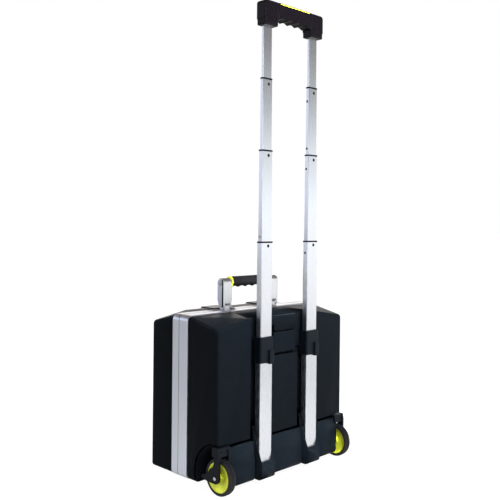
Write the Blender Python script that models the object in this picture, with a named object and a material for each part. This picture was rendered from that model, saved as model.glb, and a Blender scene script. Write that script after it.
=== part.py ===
"""Rolling tool box: a hard case in an aluminium frame, with a telescopic pull handle and two wheels.

Metres, +Z up. The origin is on the floor under the middle of the object. The lid faces -Y, the pull handle and
the wheels are on the +Y side. Right is +X, as seen from the lid. The pull handle is extended, the lid is shut
and the carry handle stands up.
"""

import math

import bmesh
import bpy
from mathutils import Vector

# Case, across X, along Y and up Z
FRAME_HALF_WIDTH = 0.230
FRAME_BOTTOM = 0.0145
FRAME_TOP = 0.402
FRAME_CORNER = 0.014
FRAME_THICKNESS = 0.013
SHELL_HALF_WIDTH = 0.226
SHELL_BOTTOM = 0.0162
SHELL_RIM_TOP = 0.4006
SHELL_WALL = 0.003
BACK = 0.10125
REAR_FRAME_BACK = BACK - 0.102
CREASE = BACK - 0.134
LID_FRAME_FRONT = BACK - 0.158
LID_FRONT = BACK - 0.242
SHELL_EDGE_RADIUS = 0.007
GAP = 0.0003

# Corner facets of both shells
FACET_RIM_X = 0.089
FACET_FAR_X = 0.117
FACET_FAR_TOP = 0.3955
CORNER_FAR_TOP = 0.3765
CORNER_RIM_DROP = 0.002

# Grooves that the pull handle's rails stand in
TUBE_X = 0.0835
GROOVE_DEPTH = 0.011
GROOVE_OUTER = 0.11725
GROOVE_INNER = 0.04975
GROOVE_INNER_UPPER = 0.041
GROOVE_MOUTH_RADIUS = 0.004
POCKET_BOTTOM = 0.2975
POCKET_TOP = 0.3586

# Telescopic tubes, outermost first
RAIL_HALF_WIDTH = 0.0206
RAIL_HALF_DEPTH = 0.0098
RAIL_INSET = 0.002
TUBE_Y = BACK + RAIL_HALF_DEPTH - RAIL_INSET
TUBE_STEP = 0.0015
TUBE_WALL = 0.0012
TUBE_CORNER = 0.003
RAIL_BOTTOM = 0.053
RAIL_TOP = 0.349
STAGE_NAMES = ("a", "b", "c", "d")
STAGE_TOPS = (0.579, 0.798, 0.970, 1.110)
STAGE_LENGTHS = (0.294, 0.284, 0.232, 0.200)
COLLAR_HEIGHT = 0.0036
COLLAR_LIP = 0.0006

# Clamps that hold the rails' upper ends
CLAMP_BOTTOM = 0.290
CLAMP_TOP = 0.351
CLAMP_HALF_WIDTH = 0.0228
CLAMP_FRONT = BACK - 0.0095
CLAMP_CORNER = 0.0045
CLAMP_BACK = BACK + 0.0202
CATCH_OFFSET = 0.0105
CATCH_HALF_WIDTH = 0.0075
CATCH_TOP = 0.320
CATCH_DEPTH = 0.006
BRIDGE_BOTTOM = 0.304
BRIDGE_TOP = 0.3552

# Pull handle grip
PULL_HALF_WIDTH = 0.1074
PULL_INNER = 0.0585
PULL_FRONT = BACK - 0.005
PULL_BACK = BACK + 0.0250
PULL_COLLAR_BOTTOM = 1.094
PULL_BLOCK_BOTTOM = 1.109
PULL_BAR_BOTTOM = 1.113
PULL_TOP = 1.153
FINGER_SCALLOPS = 4
BUTTON_HALF_LENGTH = 0.056
BUTTON_HALF_WIDTH = 0.0065
BUTTON_TRAVEL = 0.003
BUTTON_PROUD = 0.0012

# Wheels
WHEEL_RADIUS = 0.0425
HUB_RADIUS = 0.0350
WHEEL_Y = BACK - 0.003
WHEEL_INNER = 0.2005
WHEEL_OUTER = 0.2195
AXLE_RADIUS = 0.0035
AXLE_HEAD_RADIUS = 0.0042
AXLE_END = 0.2305
ARCH_RADIUS = 0.072
ARCH_STEP_RADIUS = 0.0762
ARCH_INNER = 0.190
ARCH_STEP_X = 0.2225

# Wheel carriage, the moulding across the lower back
CARRIAGE_HALF_WIDTH = 0.1885
CARRIAGE_TOP = 0.112
CARRIAGE_BOTTOM = 0.015
CARRIAGE_BULGE = 0.014
CARRIAGE_BEND_END = 0.058
SHOE_HALF_WIDTH = 0.023
SHOE_DEPTH = 0.027

# Carry handle
HANDLE_OUTER = 0.099
HANDLE_INNER = 0.070
HANDLE_Y = BACK - 0.1305
HANDLE_HALF_DEPTH = 0.0115
HANDLE_TOP = 0.483
PIVOT_Y = BACK - 0.127
PIVOT_Z = 0.411
TAB_HALF_WIDTH = 0.008
FORK_SLOT_TOP = 0.420
GRIP_RADIUS_Z = 0.0140
GRIP_RADIUS_Y = 0.0115
RING_WIDTH = 0.0055
RING_PROUD = 0.0003

# Lid hinge, latches and feet
HINGE_X = 0.130
HINGE_Z = 0.0082
HINGE_HALF_LENGTH = 0.030
KNUCKLE_RADIUS = 0.0036
HINGE_PIN_RADIUS = 0.0018
LATCH_X = 0.081
LATCH_HALF_WIDTH = 0.025
LATCH_AXIS_Y = BACK - 0.194
LATCH_AXIS_Z = FRAME_TOP + 0.0034
LEVER_HALF_THICKNESS = 0.0015
CLAW_X = 0.0605
CLAW_HALF_WIDTH = 0.0065
FOOT_X = 0.150
FOOT_Y = BACK - 0.205
FOOT_RADIUS = 0.015

SIDES = (("left", -1), ("right", 1))
HALF_TURN = math.pi
CUTTER_LENGTH = 0.03

COLOURS = {
    "shell": ((0.030, 0.035, 0.042), 0.55, 0.0),
    "frame": ((0.62, 0.63, 0.68), 0.38, 1.0),
    "tube": ((0.78, 0.79, 0.82), 0.34, 1.0),
    "black_plastic": ((0.018, 0.019, 0.022), 0.45, 0.0),
    "rubber": ((0.020, 0.020, 0.022), 0.80, 0.0),
    "lime": ((0.55, 0.68, 0.03), 0.40, 0.0),
    "steel": ((0.60, 0.60, 0.62), 0.30, 1.0),
    "cast": ((0.70, 0.71, 0.74), 0.42, 1.0),
}

axis_places = {}
materials = {}


# Scene, bodies and materials


def clear_scene():
    for obj in list(bpy.data.objects):
        bpy.data.objects.remove(obj, do_unlink=True)


def make_materials():
    for name, (colour, roughness, metallic) in COLOURS.items():
        material = bpy.data.materials.new(name)
        material.use_nodes = True
        shader = material.node_tree.nodes["Principled BSDF"]
        shader.inputs["Base Color"].default_value = (*colour, 1.0)
        shader.inputs["Roughness"].default_value = roughness
        shader.inputs["Metallic"].default_value = metallic
        materials[name] = material


def body_axis(name, place, parent=None):
    """An empty on a body's joint axis. The pieces of the body are its children."""
    empty = bpy.data.objects.new(name, None)
    empty.empty_display_size = 0.03
    bpy.context.scene.collection.objects.link(empty)
    base = axis_places[parent] if parent else Vector((0, 0, 0))
    empty.parent = bpy.data.objects[parent] if parent else None
    empty.location = Vector(place) - base
    axis_places[name] = Vector(place)


def link_mesh(name, bm):
    bmesh.ops.recalc_face_normals(bm, faces=bm.faces)
    mesh = bpy.data.meshes.new(name)
    bm.to_mesh(mesh)
    bm.free()
    obj = bpy.data.objects.new(name, mesh)
    bpy.context.scene.collection.objects.link(obj)
    return obj


def piece(name, bm, material, body, smooth=False):
    """A sub-part drawn in world coordinates, with its origin moved onto its body's axis."""
    bmesh.ops.translate(bm, verts=bm.verts, vec=-axis_places[body])
    obj = link_mesh(name, bm)
    obj.parent = bpy.data.objects[body]
    obj.data.materials.append(materials[material])
    if smooth:
        obj.data.shade_smooth()
        obj.data.set_sharp_from_angle(angle=math.radians(35))
    return obj


def cutter(name, bm):
    obj = link_mesh(name, bm)
    obj.hide_render = True
    obj.display_type = "WIRE"
    return obj


def boolean(obj, other, operation="DIFFERENCE"):
    modifier = obj.modifiers.new(other.name, "BOOLEAN")
    modifier.operation = operation
    modifier.solver = "EXACT"
    modifier.object = other


def soften(obj, width, segments=2, angle=40):
    modifier = obj.modifiers.new("soften", "BEVEL")
    modifier.width = width
    modifier.segments = segments
    modifier.limit_method = "ANGLE"
    modifier.angle_limit = math.radians(angle)


# Shapes


def box(low, high):
    bm = bmesh.new()
    bmesh.ops.create_cube(bm, size=1.0)
    low, high = Vector(low), Vector(high)
    bmesh.ops.scale(bm, verts=bm.verts, vec=high - low)
    bmesh.ops.translate(bm, verts=bm.verts, vec=(low + high) / 2)
    return bm


def in_space(axis, along, u, v):
    """The point at (u, v) on the plane across the axis: (y, z) for X, (x, z) for Y, (x, y) for Z."""
    return {"X": (along, u, v), "Y": (u, along, v), "Z": (u, v, along)}[axis]


def prism(outline, axis, start, end):
    bm = bmesh.new()
    loops = [[bm.verts.new(in_space(axis, along, u, v)) for u, v in outline] for along in (start, end)]
    bm.faces.new(loops[0])
    bm.faces.new(loops[1])
    bmesh.ops.bridge_loops(bm, edges=[e for e in bm.edges if e.is_boundary or len(e.link_faces) == 1])
    return bm


def pipe(outer, inner, axis, start, end):
    """A prism with a hole through it. Both outlines have the same number of points."""
    bm = bmesh.new()
    rings = [
        [bm.verts.new(in_space(axis, along, u, v)) for u, v in outline]
        for along, outline in ((start, outer), (end, outer), (end, inner), (start, inner))
    ]
    count = len(outer)
    for ring, following in zip(rings, rings[1:] + rings[:1]):
        for i in range(count):
            j = (i + 1) % count
            bm.faces.new((ring[i], ring[j], following[j], following[i]))
    return bm


def turned(profile, centre, segments):
    """A profile of (x, radius) points turned about an axis along X through the centre (y, z)."""
    bm = bmesh.new()
    y, z = centre
    verts = [bm.verts.new((x, y, z + radius)) for x, radius in profile]
    closed = profile[0][1] > 0
    pairs = list(zip(verts, verts[1:])) + ([(verts[-1], verts[0])] if closed else [])
    edges = [bm.edges.new(pair) for pair in pairs]
    bmesh.ops.spin(
        bm, geom=verts + edges, cent=(0, y, z), axis=(1, 0, 0), angle=2 * HALF_TURN, steps=segments, use_merge=True
    )
    bmesh.ops.remove_doubles(bm, verts=bm.verts, dist=1e-6)
    return bm


def arc(centre, radius, start, end, steps):
    """Points on a circle, from one angle to another in degrees."""
    angles = [math.radians(start + (end - start) * i / steps) for i in range(steps + 1)]
    return [(centre[0] + radius * math.cos(a), centre[1] + radius * math.sin(a)) for a in angles]


def rounded_rectangle(centre, half_u, half_v, radius, steps=3):
    u, v = half_u - radius, half_v - radius
    corners = ((u, v, 0), (-u, v, 90), (-u, -v, 180), (u, -v, 270))
    outline = []
    for du, dv, start in corners:
        outline += arc((centre[0] + du, centre[1] + dv), radius, start, start + 90, steps)
    return outline


def hull(points):
    bm = bmesh.new()
    for point in points:
        bm.verts.new(point)
    found = bmesh.ops.convex_hull(bm, input=bm.verts)
    spare = {v for key in ("geom_interior", "geom_unused") for v in found[key] if isinstance(v, bmesh.types.BMVert)}
    bmesh.ops.delete(bm, geom=list(spare), context="VERTS")
    bmesh.ops.dissolve_limit(bm, angle_limit=math.radians(0.5), verts=bm.verts, edges=bm.edges)
    return bm


def on_side(bm, side):
    """The shape as drawn for the right, or its mirror image for the left."""
    if side < 0:
        bmesh.ops.scale(bm, verts=bm.verts, vec=(-1, 1, 1))
    return bm


# Case shells and frames


def shell_form(rim, far, overrun, inset):
    """The outer form of a half shell, drawn in by inset. It runs past its rim by overrun."""
    along = 1 if far > rim else -1
    half, bottom = SHELL_HALF_WIDTH - inset, SHELL_BOTTOM + inset
    points = []
    for y in (rim, rim - along * overrun):
        for side in (-1, 1):
            points.append((side * FACET_RIM_X, y, SHELL_RIM_TOP - inset))
            points.append((side * half, y, SHELL_RIM_TOP - CORNER_RIM_DROP - inset))
            points.append((side * half, y, bottom))
    for side in (-1, 1):
        points.append((side * FACET_FAR_X, far - along * inset, FACET_FAR_TOP - inset))
        points.append((side * half, far - along * inset, CORNER_FAR_TOP - inset))
        points.append((side * half, far - along * inset, bottom))
    return hull(points)


def groove_outline(inner, outer, flare_inner=True):
    """Across a groove in the back face, with its mouth's edges rounded over."""
    floor, radius = BACK - GROOVE_DEPTH, GROOVE_MOUTH_RADIUS
    lip = BACK - radius + GAP / 3
    outline = arc((outer + radius, lip), radius, 180, 90, 4)
    outline += [(outer + radius, BACK + CUTTER_LENGTH)]
    if flare_inner:
        outline += [(inner - radius, BACK + CUTTER_LENGTH)]
        outline += arc((inner - radius, lip), radius, 90, 0, 4)
    else:
        outline += [(inner, BACK + CUTTER_LENGTH)]
    return outline + [(inner, floor), (outer, floor)]


def arch_form(radius, step_radius, inner):
    centre = (WHEEL_Y, WHEEL_RADIUS)
    end = SHELL_HALF_WIDTH + CUTTER_LENGTH
    profile = [(inner, 0), (inner, radius), (ARCH_STEP_X, radius)]
    profile += [(ARCH_STEP_X, step_radius), (end, step_radius), (end, 0)]
    return turned(profile, centre, 48)


def rear_cavity():
    """The room inside the rear shell, which leaves a wall behind each groove, pocket and wheel arch."""
    room = cutter("rear_cavity", shell_form(REAR_FRAME_BACK, BACK, CUTTER_LENGTH, SHELL_WALL))
    soften(room, SHELL_EDGE_RADIUS - SHELL_WALL, 2, 25)
    wall = BACK - GROOVE_DEPTH - SHELL_WALL
    far, top = BACK + CUTTER_LENGTH, FRAME_TOP + CUTTER_LENGTH
    outer = GROOVE_OUTER + SHELL_WALL
    band = box((-outer, wall, POCKET_BOTTOM - SHELL_WALL), (outer, far, top))
    boolean(room, cutter("keep_pocket", band))
    for name, side in SIDES:
        rib = box((GROOVE_INNER - SHELL_WALL, wall, -CUTTER_LENGTH), (outer, far, POCKET_TOP))
        boolean(room, cutter(f"keep_groove_{name}", on_side(rib, side)))
        arch = arch_form(ARCH_RADIUS + SHELL_WALL, ARCH_STEP_RADIUS + SHELL_WALL, ARCH_INNER - SHELL_WALL)
        boolean(room, cutter(f"keep_arch_{name}", on_side(arch, side)))
    return room


def make_rear_shell():
    form = shell_form(REAR_FRAME_BACK, BACK, CUTTER_LENGTH, 0)
    shell = piece("rear_shell", form, "shell", "case", smooth=True)
    soften(shell, SHELL_EDGE_RADIUS, 3, 25)
    reach, top = FRAME_HALF_WIDTH + CUTTER_LENGTH, FRAME_TOP + CUTTER_LENGTH
    rim = REAR_FRAME_BACK + GAP
    boolean(shell, cutter("rear_rim_trim", box((-reach, rim - 0.1, -0.1), (reach, rim, top))))
    boolean(shell, rear_cavity())
    for name, side in SIDES:
        groove = prism(groove_outline(GROOVE_INNER, GROOVE_OUTER), "Z", -CUTTER_LENGTH, top)
        boolean(shell, cutter(f"groove_{name}", on_side(groove, side)))
        upper = prism(groove_outline(GROOVE_INNER_UPPER, GROOVE_OUTER), "Z", POCKET_BOTTOM, top)
        boolean(shell, cutter(f"upper_groove_{name}", on_side(upper, side)))
        arch = arch_form(ARCH_RADIUS, ARCH_STEP_RADIUS, ARCH_INNER)
        boolean(shell, cutter(f"wheel_arch_{name}", on_side(arch, side)))
    pocket_half = GROOVE_INNER + 0.001
    floor = BACK - GROOVE_DEPTH
    pocket = box((-pocket_half, floor, POCKET_BOTTOM), (pocket_half, BACK + CUTTER_LENGTH, POCKET_TOP))
    boolean(shell, cutter("bridge_pocket", pocket))


def make_lid_shell():
    form = shell_form(LID_FRAME_FRONT, LID_FRONT, CUTTER_LENGTH, 0)
    shell = piece("lid_shell", form, "shell", "lid", smooth=True)
    soften(shell, SHELL_EDGE_RADIUS, 3, 25)
    reach, top = FRAME_HALF_WIDTH + CUTTER_LENGTH, FRAME_TOP + CUTTER_LENGTH
    rim = LID_FRAME_FRONT - GAP
    boolean(shell, cutter("lid_rim_trim", box((-reach, rim, -0.1), (reach, rim + 0.1, top))))
    room = cutter("lid_cavity", shell_form(LID_FRAME_FRONT, LID_FRONT, CUTTER_LENGTH, SHELL_WALL))
    soften(room, SHELL_EDGE_RADIUS - SHELL_WALL, 2, 25)
    boolean(shell, room)


def make_frames():
    middle = (FRAME_BOTTOM + FRAME_TOP) / 2
    half = (FRAME_TOP - FRAME_BOTTOM) / 2
    outer = rounded_rectangle((0, middle), FRAME_HALF_WIDTH, half, FRAME_CORNER, 4)
    inner_width, inner_half = FRAME_HALF_WIDTH - FRAME_THICKNESS, half - FRAME_THICKNESS
    inner = rounded_rectangle((0, middle), inner_width, inner_half, FRAME_CORNER / 2, 4)
    rear = piece("rear_frame", pipe(outer, inner, "Y", CREASE + GAP, REAR_FRAME_BACK), "frame", "case", smooth=True)
    lid = piece("lid_frame", pipe(outer, inner, "Y", LID_FRAME_FRONT, CREASE - GAP), "frame", "lid", smooth=True)
    soften(rear, 0.0014, 1, 50)
    soften(lid, 0.0014, 1, 50)


# Pull handle: rails, clamps, stages and grip


def tube_outline(half_width, half_depth, corner):
    return rounded_rectangle((TUBE_X, TUBE_Y), half_width, half_depth, corner, 2)


def telescope_tube(step, bottom, top):
    """One tube of the telescope, step places in from the fixed rail."""
    half_width, half_depth = RAIL_HALF_WIDTH - step * TUBE_STEP, RAIL_HALF_DEPTH - step * TUBE_STEP
    corner = TUBE_CORNER - step * 0.0004
    outer = tube_outline(half_width, half_depth, corner)
    inner = tube_outline(half_width - TUBE_WALL, half_depth - TUBE_WALL, corner - 0.0008)
    return pipe(outer, inner, "Z", bottom, top)


def make_rails_and_clamps():
    for name, side in SIDES:
        rail = telescope_tube(0, RAIL_BOTTOM, RAIL_TOP)
        piece(f"rail_{name}", on_side(rail, side), "tube", "case", smooth=True)
        middle_y, half_depth = (CLAMP_FRONT + CLAMP_BACK) / 2, (CLAMP_BACK - CLAMP_FRONT) / 2
        outline = rounded_rectangle((side * TUBE_X, middle_y), CLAMP_HALF_WIDTH, half_depth, CLAMP_CORNER, 3)
        clamp = piece(f"rail_clamp_{name}", prism(outline, "Z", CLAMP_BOTTOM, CLAMP_TOP), "black_plastic", "case")
        seat = tube_outline(RAIL_HALF_WIDTH + GAP, RAIL_HALF_DEPTH + GAP, TUBE_CORNER)
        seat_top = RAIL_TOP + GAP
        seat_bm = on_side(prism(seat, "Z", CLAMP_BOTTOM - CUTTER_LENGTH, seat_top), side)
        boolean(clamp, cutter(f"clamp_seat_{name}", seat_bm))
        throat_gap = TUBE_STEP - GAP
        throat = tube_outline(RAIL_HALF_WIDTH - throat_gap, RAIL_HALF_DEPTH - throat_gap, TUBE_CORNER - 0.0004)
        throat_bm = on_side(prism(throat, "Z", RAIL_TOP - CUTTER_LENGTH, CLAMP_TOP + CUTTER_LENGTH), side)
        boolean(clamp, cutter(f"clamp_throat_{name}", throat_bm))
        catch_x = side * TUBE_X - CATCH_OFFSET
        catch = rounded_rectangle((catch_x, CLAMP_BACK), CATCH_HALF_WIDTH, CATCH_DEPTH, 0.002, 2)
        catch_bm = prism([(u, max(v, CLAMP_BACK - 0.0015)) for u, v in catch], "Z", CLAMP_BOTTOM - 0.003, CATCH_TOP)
        bmesh.ops.remove_doubles(catch_bm, verts=catch_bm.verts, dist=1e-6)
        boolean(clamp, cutter(f"catch_{name}", catch_bm), "UNION")
    half = GROOVE_INNER_UPPER - GAP
    bar = box((-half, BACK - GROOVE_DEPTH + GAP, BRIDGE_BOTTOM), (half, BACK, BRIDGE_TOP))
    bridge = piece("clamp_bridge", bar, "shell", "case")
    soften(bridge, 0.002, 2)
    arm_half = TUBE_X - CLAMP_HALF_WIDTH - GAP
    arms = box((-arm_half, BACK - GROOVE_DEPTH + GAP, 0.312), (arm_half, BACK - 0.006, 0.347))
    boolean(bridge, cutter("bridge_arms", arms), "UNION")


def make_stages():
    for step, (stage, top, length) in enumerate(zip(STAGE_NAMES, STAGE_TOPS, STAGE_LENGTHS), start=1):
        body = f"stage_{stage}"
        for name, side in SIDES:
            is_last = stage == STAGE_NAMES[-1]
            tube_top = top if is_last else top - COLLAR_HEIGHT - GAP
            tube = telescope_tube(step, top - length, tube_top)
            piece(f"{body}_tube_{name}", on_side(tube, side), "tube", body, smooth=True)
            if is_last:
                continue
            half_width = RAIL_HALF_WIDTH - step * TUBE_STEP
            half_depth = RAIL_HALF_DEPTH - step * TUBE_STEP
            outer = tube_outline(half_width + COLLAR_LIP, half_depth + COLLAR_LIP, TUBE_CORNER)
            hole = TUBE_STEP - GAP
            inner = tube_outline(half_width - hole, half_depth - hole, 0.0018)
            collar = pipe(outer, inner, "Z", top - COLLAR_HEIGHT, top)
            piece(f"{body}_collar_{name}", on_side(collar, side), "black_plastic", body, smooth=True)


def pull_outline():
    """Across the pull handle's grip, seen along Y, with scallops for the fingers under the bar."""
    corner = 0.009
    collar_outer, collar_inner = PULL_HALF_WIDTH - 0.0022, PULL_INNER + 0.0022
    half = arc((PULL_HALF_WIDTH - corner, PULL_TOP - corner), corner, 90, 0, 4)
    half += [(PULL_HALF_WIDTH, PULL_BLOCK_BOTTOM), (collar_outer, PULL_BLOCK_BOTTOM - 0.002)]
    half += [(collar_outer, PULL_COLLAR_BOTTOM), (collar_inner, PULL_COLLAR_BOTTOM)]
    half += [(collar_inner, PULL_BLOCK_BOTTOM - 0.002), (PULL_INNER, PULL_BLOCK_BOTTOM)]
    half += [(PULL_INNER - 0.001, PULL_BLOCK_BOTTOM + 0.008)]
    mirrored = [(-x, z) for x, z in reversed(half)]
    scallops = []
    steps = FINGER_SCALLOPS * 4
    start = PULL_INNER - 0.004
    for i in range(steps + 1):
        x = start - 2 * start * i / steps
        rise = abs(math.sin(HALF_TURN * FINGER_SCALLOPS * i / steps))
        scallops.append((x, PULL_BAR_BOTTOM + 0.0045 * rise))
    return half + scallops + mirrored


def make_pull_grip():
    grip = piece("pull_grip", prism(pull_outline(), "Y", PULL_FRONT, PULL_BACK), "black_plastic", "stage_d")
    soften(grip, 0.003, 2, 50)
    for name, side in SIDES:
        step = len(STAGE_NAMES)
        half_width, half_depth = RAIL_HALF_WIDTH - step * TUBE_STEP, RAIL_HALF_DEPTH - step * TUBE_STEP
        socket = tube_outline(half_width + GAP, half_depth + GAP, 0.0014)
        socket_bm = on_side(prism(socket, "Z", PULL_COLLAR_BOTTOM - CUTTER_LENGTH, STAGE_TOPS[-1] + GAP), side)
        boolean(grip, cutter(f"grip_socket_{name}", socket_bm))
    centre = (0, (PULL_FRONT + PULL_BACK) / 2)
    button_bottom = PULL_TOP - BUTTON_TRAVEL - 0.004
    well = rounded_rectangle(centre, BUTTON_HALF_LENGTH + 0.0004, BUTTON_HALF_WIDTH + 0.0004, 0.0055)
    boolean(grip, cutter("button_well", prism(well, "Z", button_bottom - 0.0002, PULL_TOP + CUTTER_LENGTH)))
    outline = rounded_rectangle(centre, BUTTON_HALF_LENGTH, BUTTON_HALF_WIDTH, 0.0052)
    body = prism(outline, "Z", button_bottom + BUTTON_TRAVEL + GAP, PULL_TOP + BUTTON_PROUD)
    button = piece("release_button", body, "lime", "release_button_body")
    soften(button, 0.0008, 1, 50)


# Wheels and the carriage that holds them


def hub_profile():
    """(x, radius) around the hub: a rim with two flanges, a web set inward, and a boss around the axle."""
    bore, boss = AXLE_RADIUS + 0.0003, 0.0095
    middle = (WHEEL_INNER + WHEEL_OUTER) / 2
    rim = HUB_RADIUS - GAP
    return [
        (WHEEL_INNER + 0.001, bore),
        (WHEEL_INNER + 0.001, boss),
        (middle - 0.0025, boss + 0.002),
        (middle - 0.0035, rim - 0.006),
        (WHEEL_INNER + 0.002, rim - 0.003),
        (WHEEL_INNER + 0.001, rim),
        (WHEEL_OUTER - 0.001, rim),
        (WHEEL_OUTER - 0.001, rim - 0.0015),
        (WHEEL_OUTER - 0.003, rim - 0.0045),
        (middle + 0.0025, rim - 0.013),
        (middle + 0.0015, boss + 0.002),
        (WHEEL_OUTER - 0.001, boss),
        (WHEEL_OUTER - 0.001, bore),
    ]


def tyre_profile():
    """(x, radius) around the tyre, with a crowned tread and rounded shoulders."""
    shoulder = 0.004
    low, high = WHEEL_INNER + shoulder, WHEEL_OUTER - shoulder
    middle = (low + high) / 2
    inner_edge = arc((low, WHEEL_RADIUS - shoulder - 0.0006), shoulder, 180, 100, 3)
    outer_edge = arc((high, WHEEL_RADIUS - shoulder - 0.0006), shoulder, 80, 0, 3)
    return [(WHEEL_INNER, HUB_RADIUS)] + inner_edge + [(middle, WHEEL_RADIUS)] + outer_edge + [(WHEEL_OUTER, HUB_RADIUS)]


def make_wheels():
    centre = (WHEEL_Y, WHEEL_RADIUS)
    for name, side in SIDES:
        body = f"wheel_{name}"
        hub = on_side(turned(hub_profile(), centre, 40), side)
        piece(f"wheel_hub_{name}", hub, "lime", body, smooth=True)
        tyre = on_side(turned(tyre_profile(), centre, 44), side)
        piece(f"wheel_tyre_{name}", tyre, "rubber", body, smooth=True)
        head = AXLE_HEAD_RADIUS
        shaft = [(0.1912, 0), (0.1912, AXLE_RADIUS), (0.2290, AXLE_RADIUS), (0.2290, head)]
        shaft += [(0.2298, head), (AXLE_END, head - 0.0012), (AXLE_END, 0)]
        piece(f"wheel_axle_{name}", on_side(turned(shaft, centre, 20), side), "steel", "case", smooth=True)


def bracket_plate():
    """Side view (y, z) of a wheel bracket's cheek: an arm down to the axle and a toe along the bottom."""
    y, z, end = WHEEL_Y, WHEEL_RADIUS, 0.0125
    outline = [(y - 0.0045, 0.1115), (y + 0.010, 0.1115), (y + 0.0125, 0.096)]
    outline += arc((y, z), end, 20, -90, 6)
    outline += [(y - 0.026, 0.0305), (y - 0.043, 0.0345), (y - 0.0445, 0.0410), (y - 0.0264, 0.0480)]
    return outline + [(y - 0.0182, 0.0610), (y - 0.0060, 0.0690), (y - 0.0045, 0.0760)]


def make_brackets():
    y = WHEEL_Y
    for name, side in SIDES:
        outer = on_side(prism(bracket_plate(), "X", 0.2222, 0.2285), side)
        bracket = piece(f"wheel_bracket_{name}", outer, "black_plastic", "case")
        inner = on_side(prism(bracket_plate(), "X", 0.1915, 0.1975), side)
        boolean(bracket, cutter(f"inner_cheek_{name}", inner), "UNION")
        crown = on_side(box((0.1920, y - 0.0115, 0.0905), (0.2280, y + 0.0095, 0.1110)), side)
        boolean(bracket, cutter(f"bracket_crown_{name}", crown), "UNION")
        bore = [(0.18, 0), (0.18, AXLE_RADIUS + GAP), (0.24, AXLE_RADIUS + GAP), (0.24, 0)]
        boolean(bracket, cutter(f"axle_bore_{name}", on_side(turned(bore, (y, WHEEL_RADIUS), 20), side)))


def panel_outline():
    """Side view (y, z) of a bumper panel: it leans out from the back face, bends upright and rolls under."""
    front = BACK + GAP
    rise = CARRIAGE_TOP - CARRIAGE_BEND_END
    lean = 2 * math.degrees(math.atan2(CARRIAGE_BULGE, rise))
    radius = rise / math.sin(math.radians(lean))
    bulge = front + CARRIAGE_BULGE
    outline = arc((bulge - radius, CARRIAGE_BEND_END), radius, lean, 0, 5)
    roll = 0.009
    outline += arc((bulge - roll, CARRIAGE_BOTTOM + roll), roll, 0, -90, 4)
    return outline + [(front, CARRIAGE_BOTTOM)]


def make_carriage():
    web_end = CARRIAGE_HALF_WIDTH - 0.002
    web = box((-web_end, BACK + 3 * GAP, 0.018), (web_end, BACK + 0.0035, 0.105))
    carriage = piece("wheel_carriage", web, "shell", "case", smooth=True)
    panels = {
        "middle": (-GROOVE_INNER, GROOVE_INNER),
        "left": (-CARRIAGE_HALF_WIDTH, -GROOVE_OUTER),
        "right": (GROOVE_OUTER, CARRIAGE_HALF_WIDTH),
    }
    for name, (start, end) in panels.items():
        panel = cutter(f"bumper_{name}", prism(panel_outline(), "X", start, end))
        boolean(carriage, panel, "UNION")
    shoe = [(BACK - GROOVE_DEPTH + GAP, 0.150), (BACK, 0.1175), (BACK + SHOE_DEPTH, RAIL_BOTTOM)]
    shoe += arc((BACK + SHOE_DEPTH - 0.010, 0.0245), 0.010, 0, -90, 4)
    shoe += [(BACK - GROOVE_DEPTH + GAP, 0.0145)]
    for name, side in SIDES:
        start, end = TUBE_X - SHOE_HALF_WIDTH, TUBE_X + SHOE_HALF_WIDTH
        wedge = cutter(f"rail_shoe_{name}", on_side(prism(shoe, "X", start, end), side))
        boolean(carriage, wedge, "UNION")
        low = (TUBE_X - RAIL_HALF_WIDTH - GAP, TUBE_Y - RAIL_HALF_DEPTH - GAP, RAIL_BOTTOM - GAP)
        high = (TUBE_X + RAIL_HALF_WIDTH + GAP, BACK + 0.05, 0.2)
        boolean(carriage, cutter(f"rail_slot_{name}", on_side(box(low, high), side)))


# Carry handle


def arm_outline():
    """Side view (y, z) of a carry handle arm: a round head, and a foot rounded about the pivot."""
    head = HANDLE_TOP - HANDLE_HALF_DEPTH
    front = HANDLE_Y - HANDLE_HALF_DEPTH
    outline = arc((HANDLE_Y, head), HANDLE_HALF_DEPTH, 0, 180, 8)
    outline += [(front, 0.428), (PIVOT_Y - 0.0075, 0.4095)]
    return outline + arc((PIVOT_Y, PIVOT_Z), 0.0078, 200, 360, 8)


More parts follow.
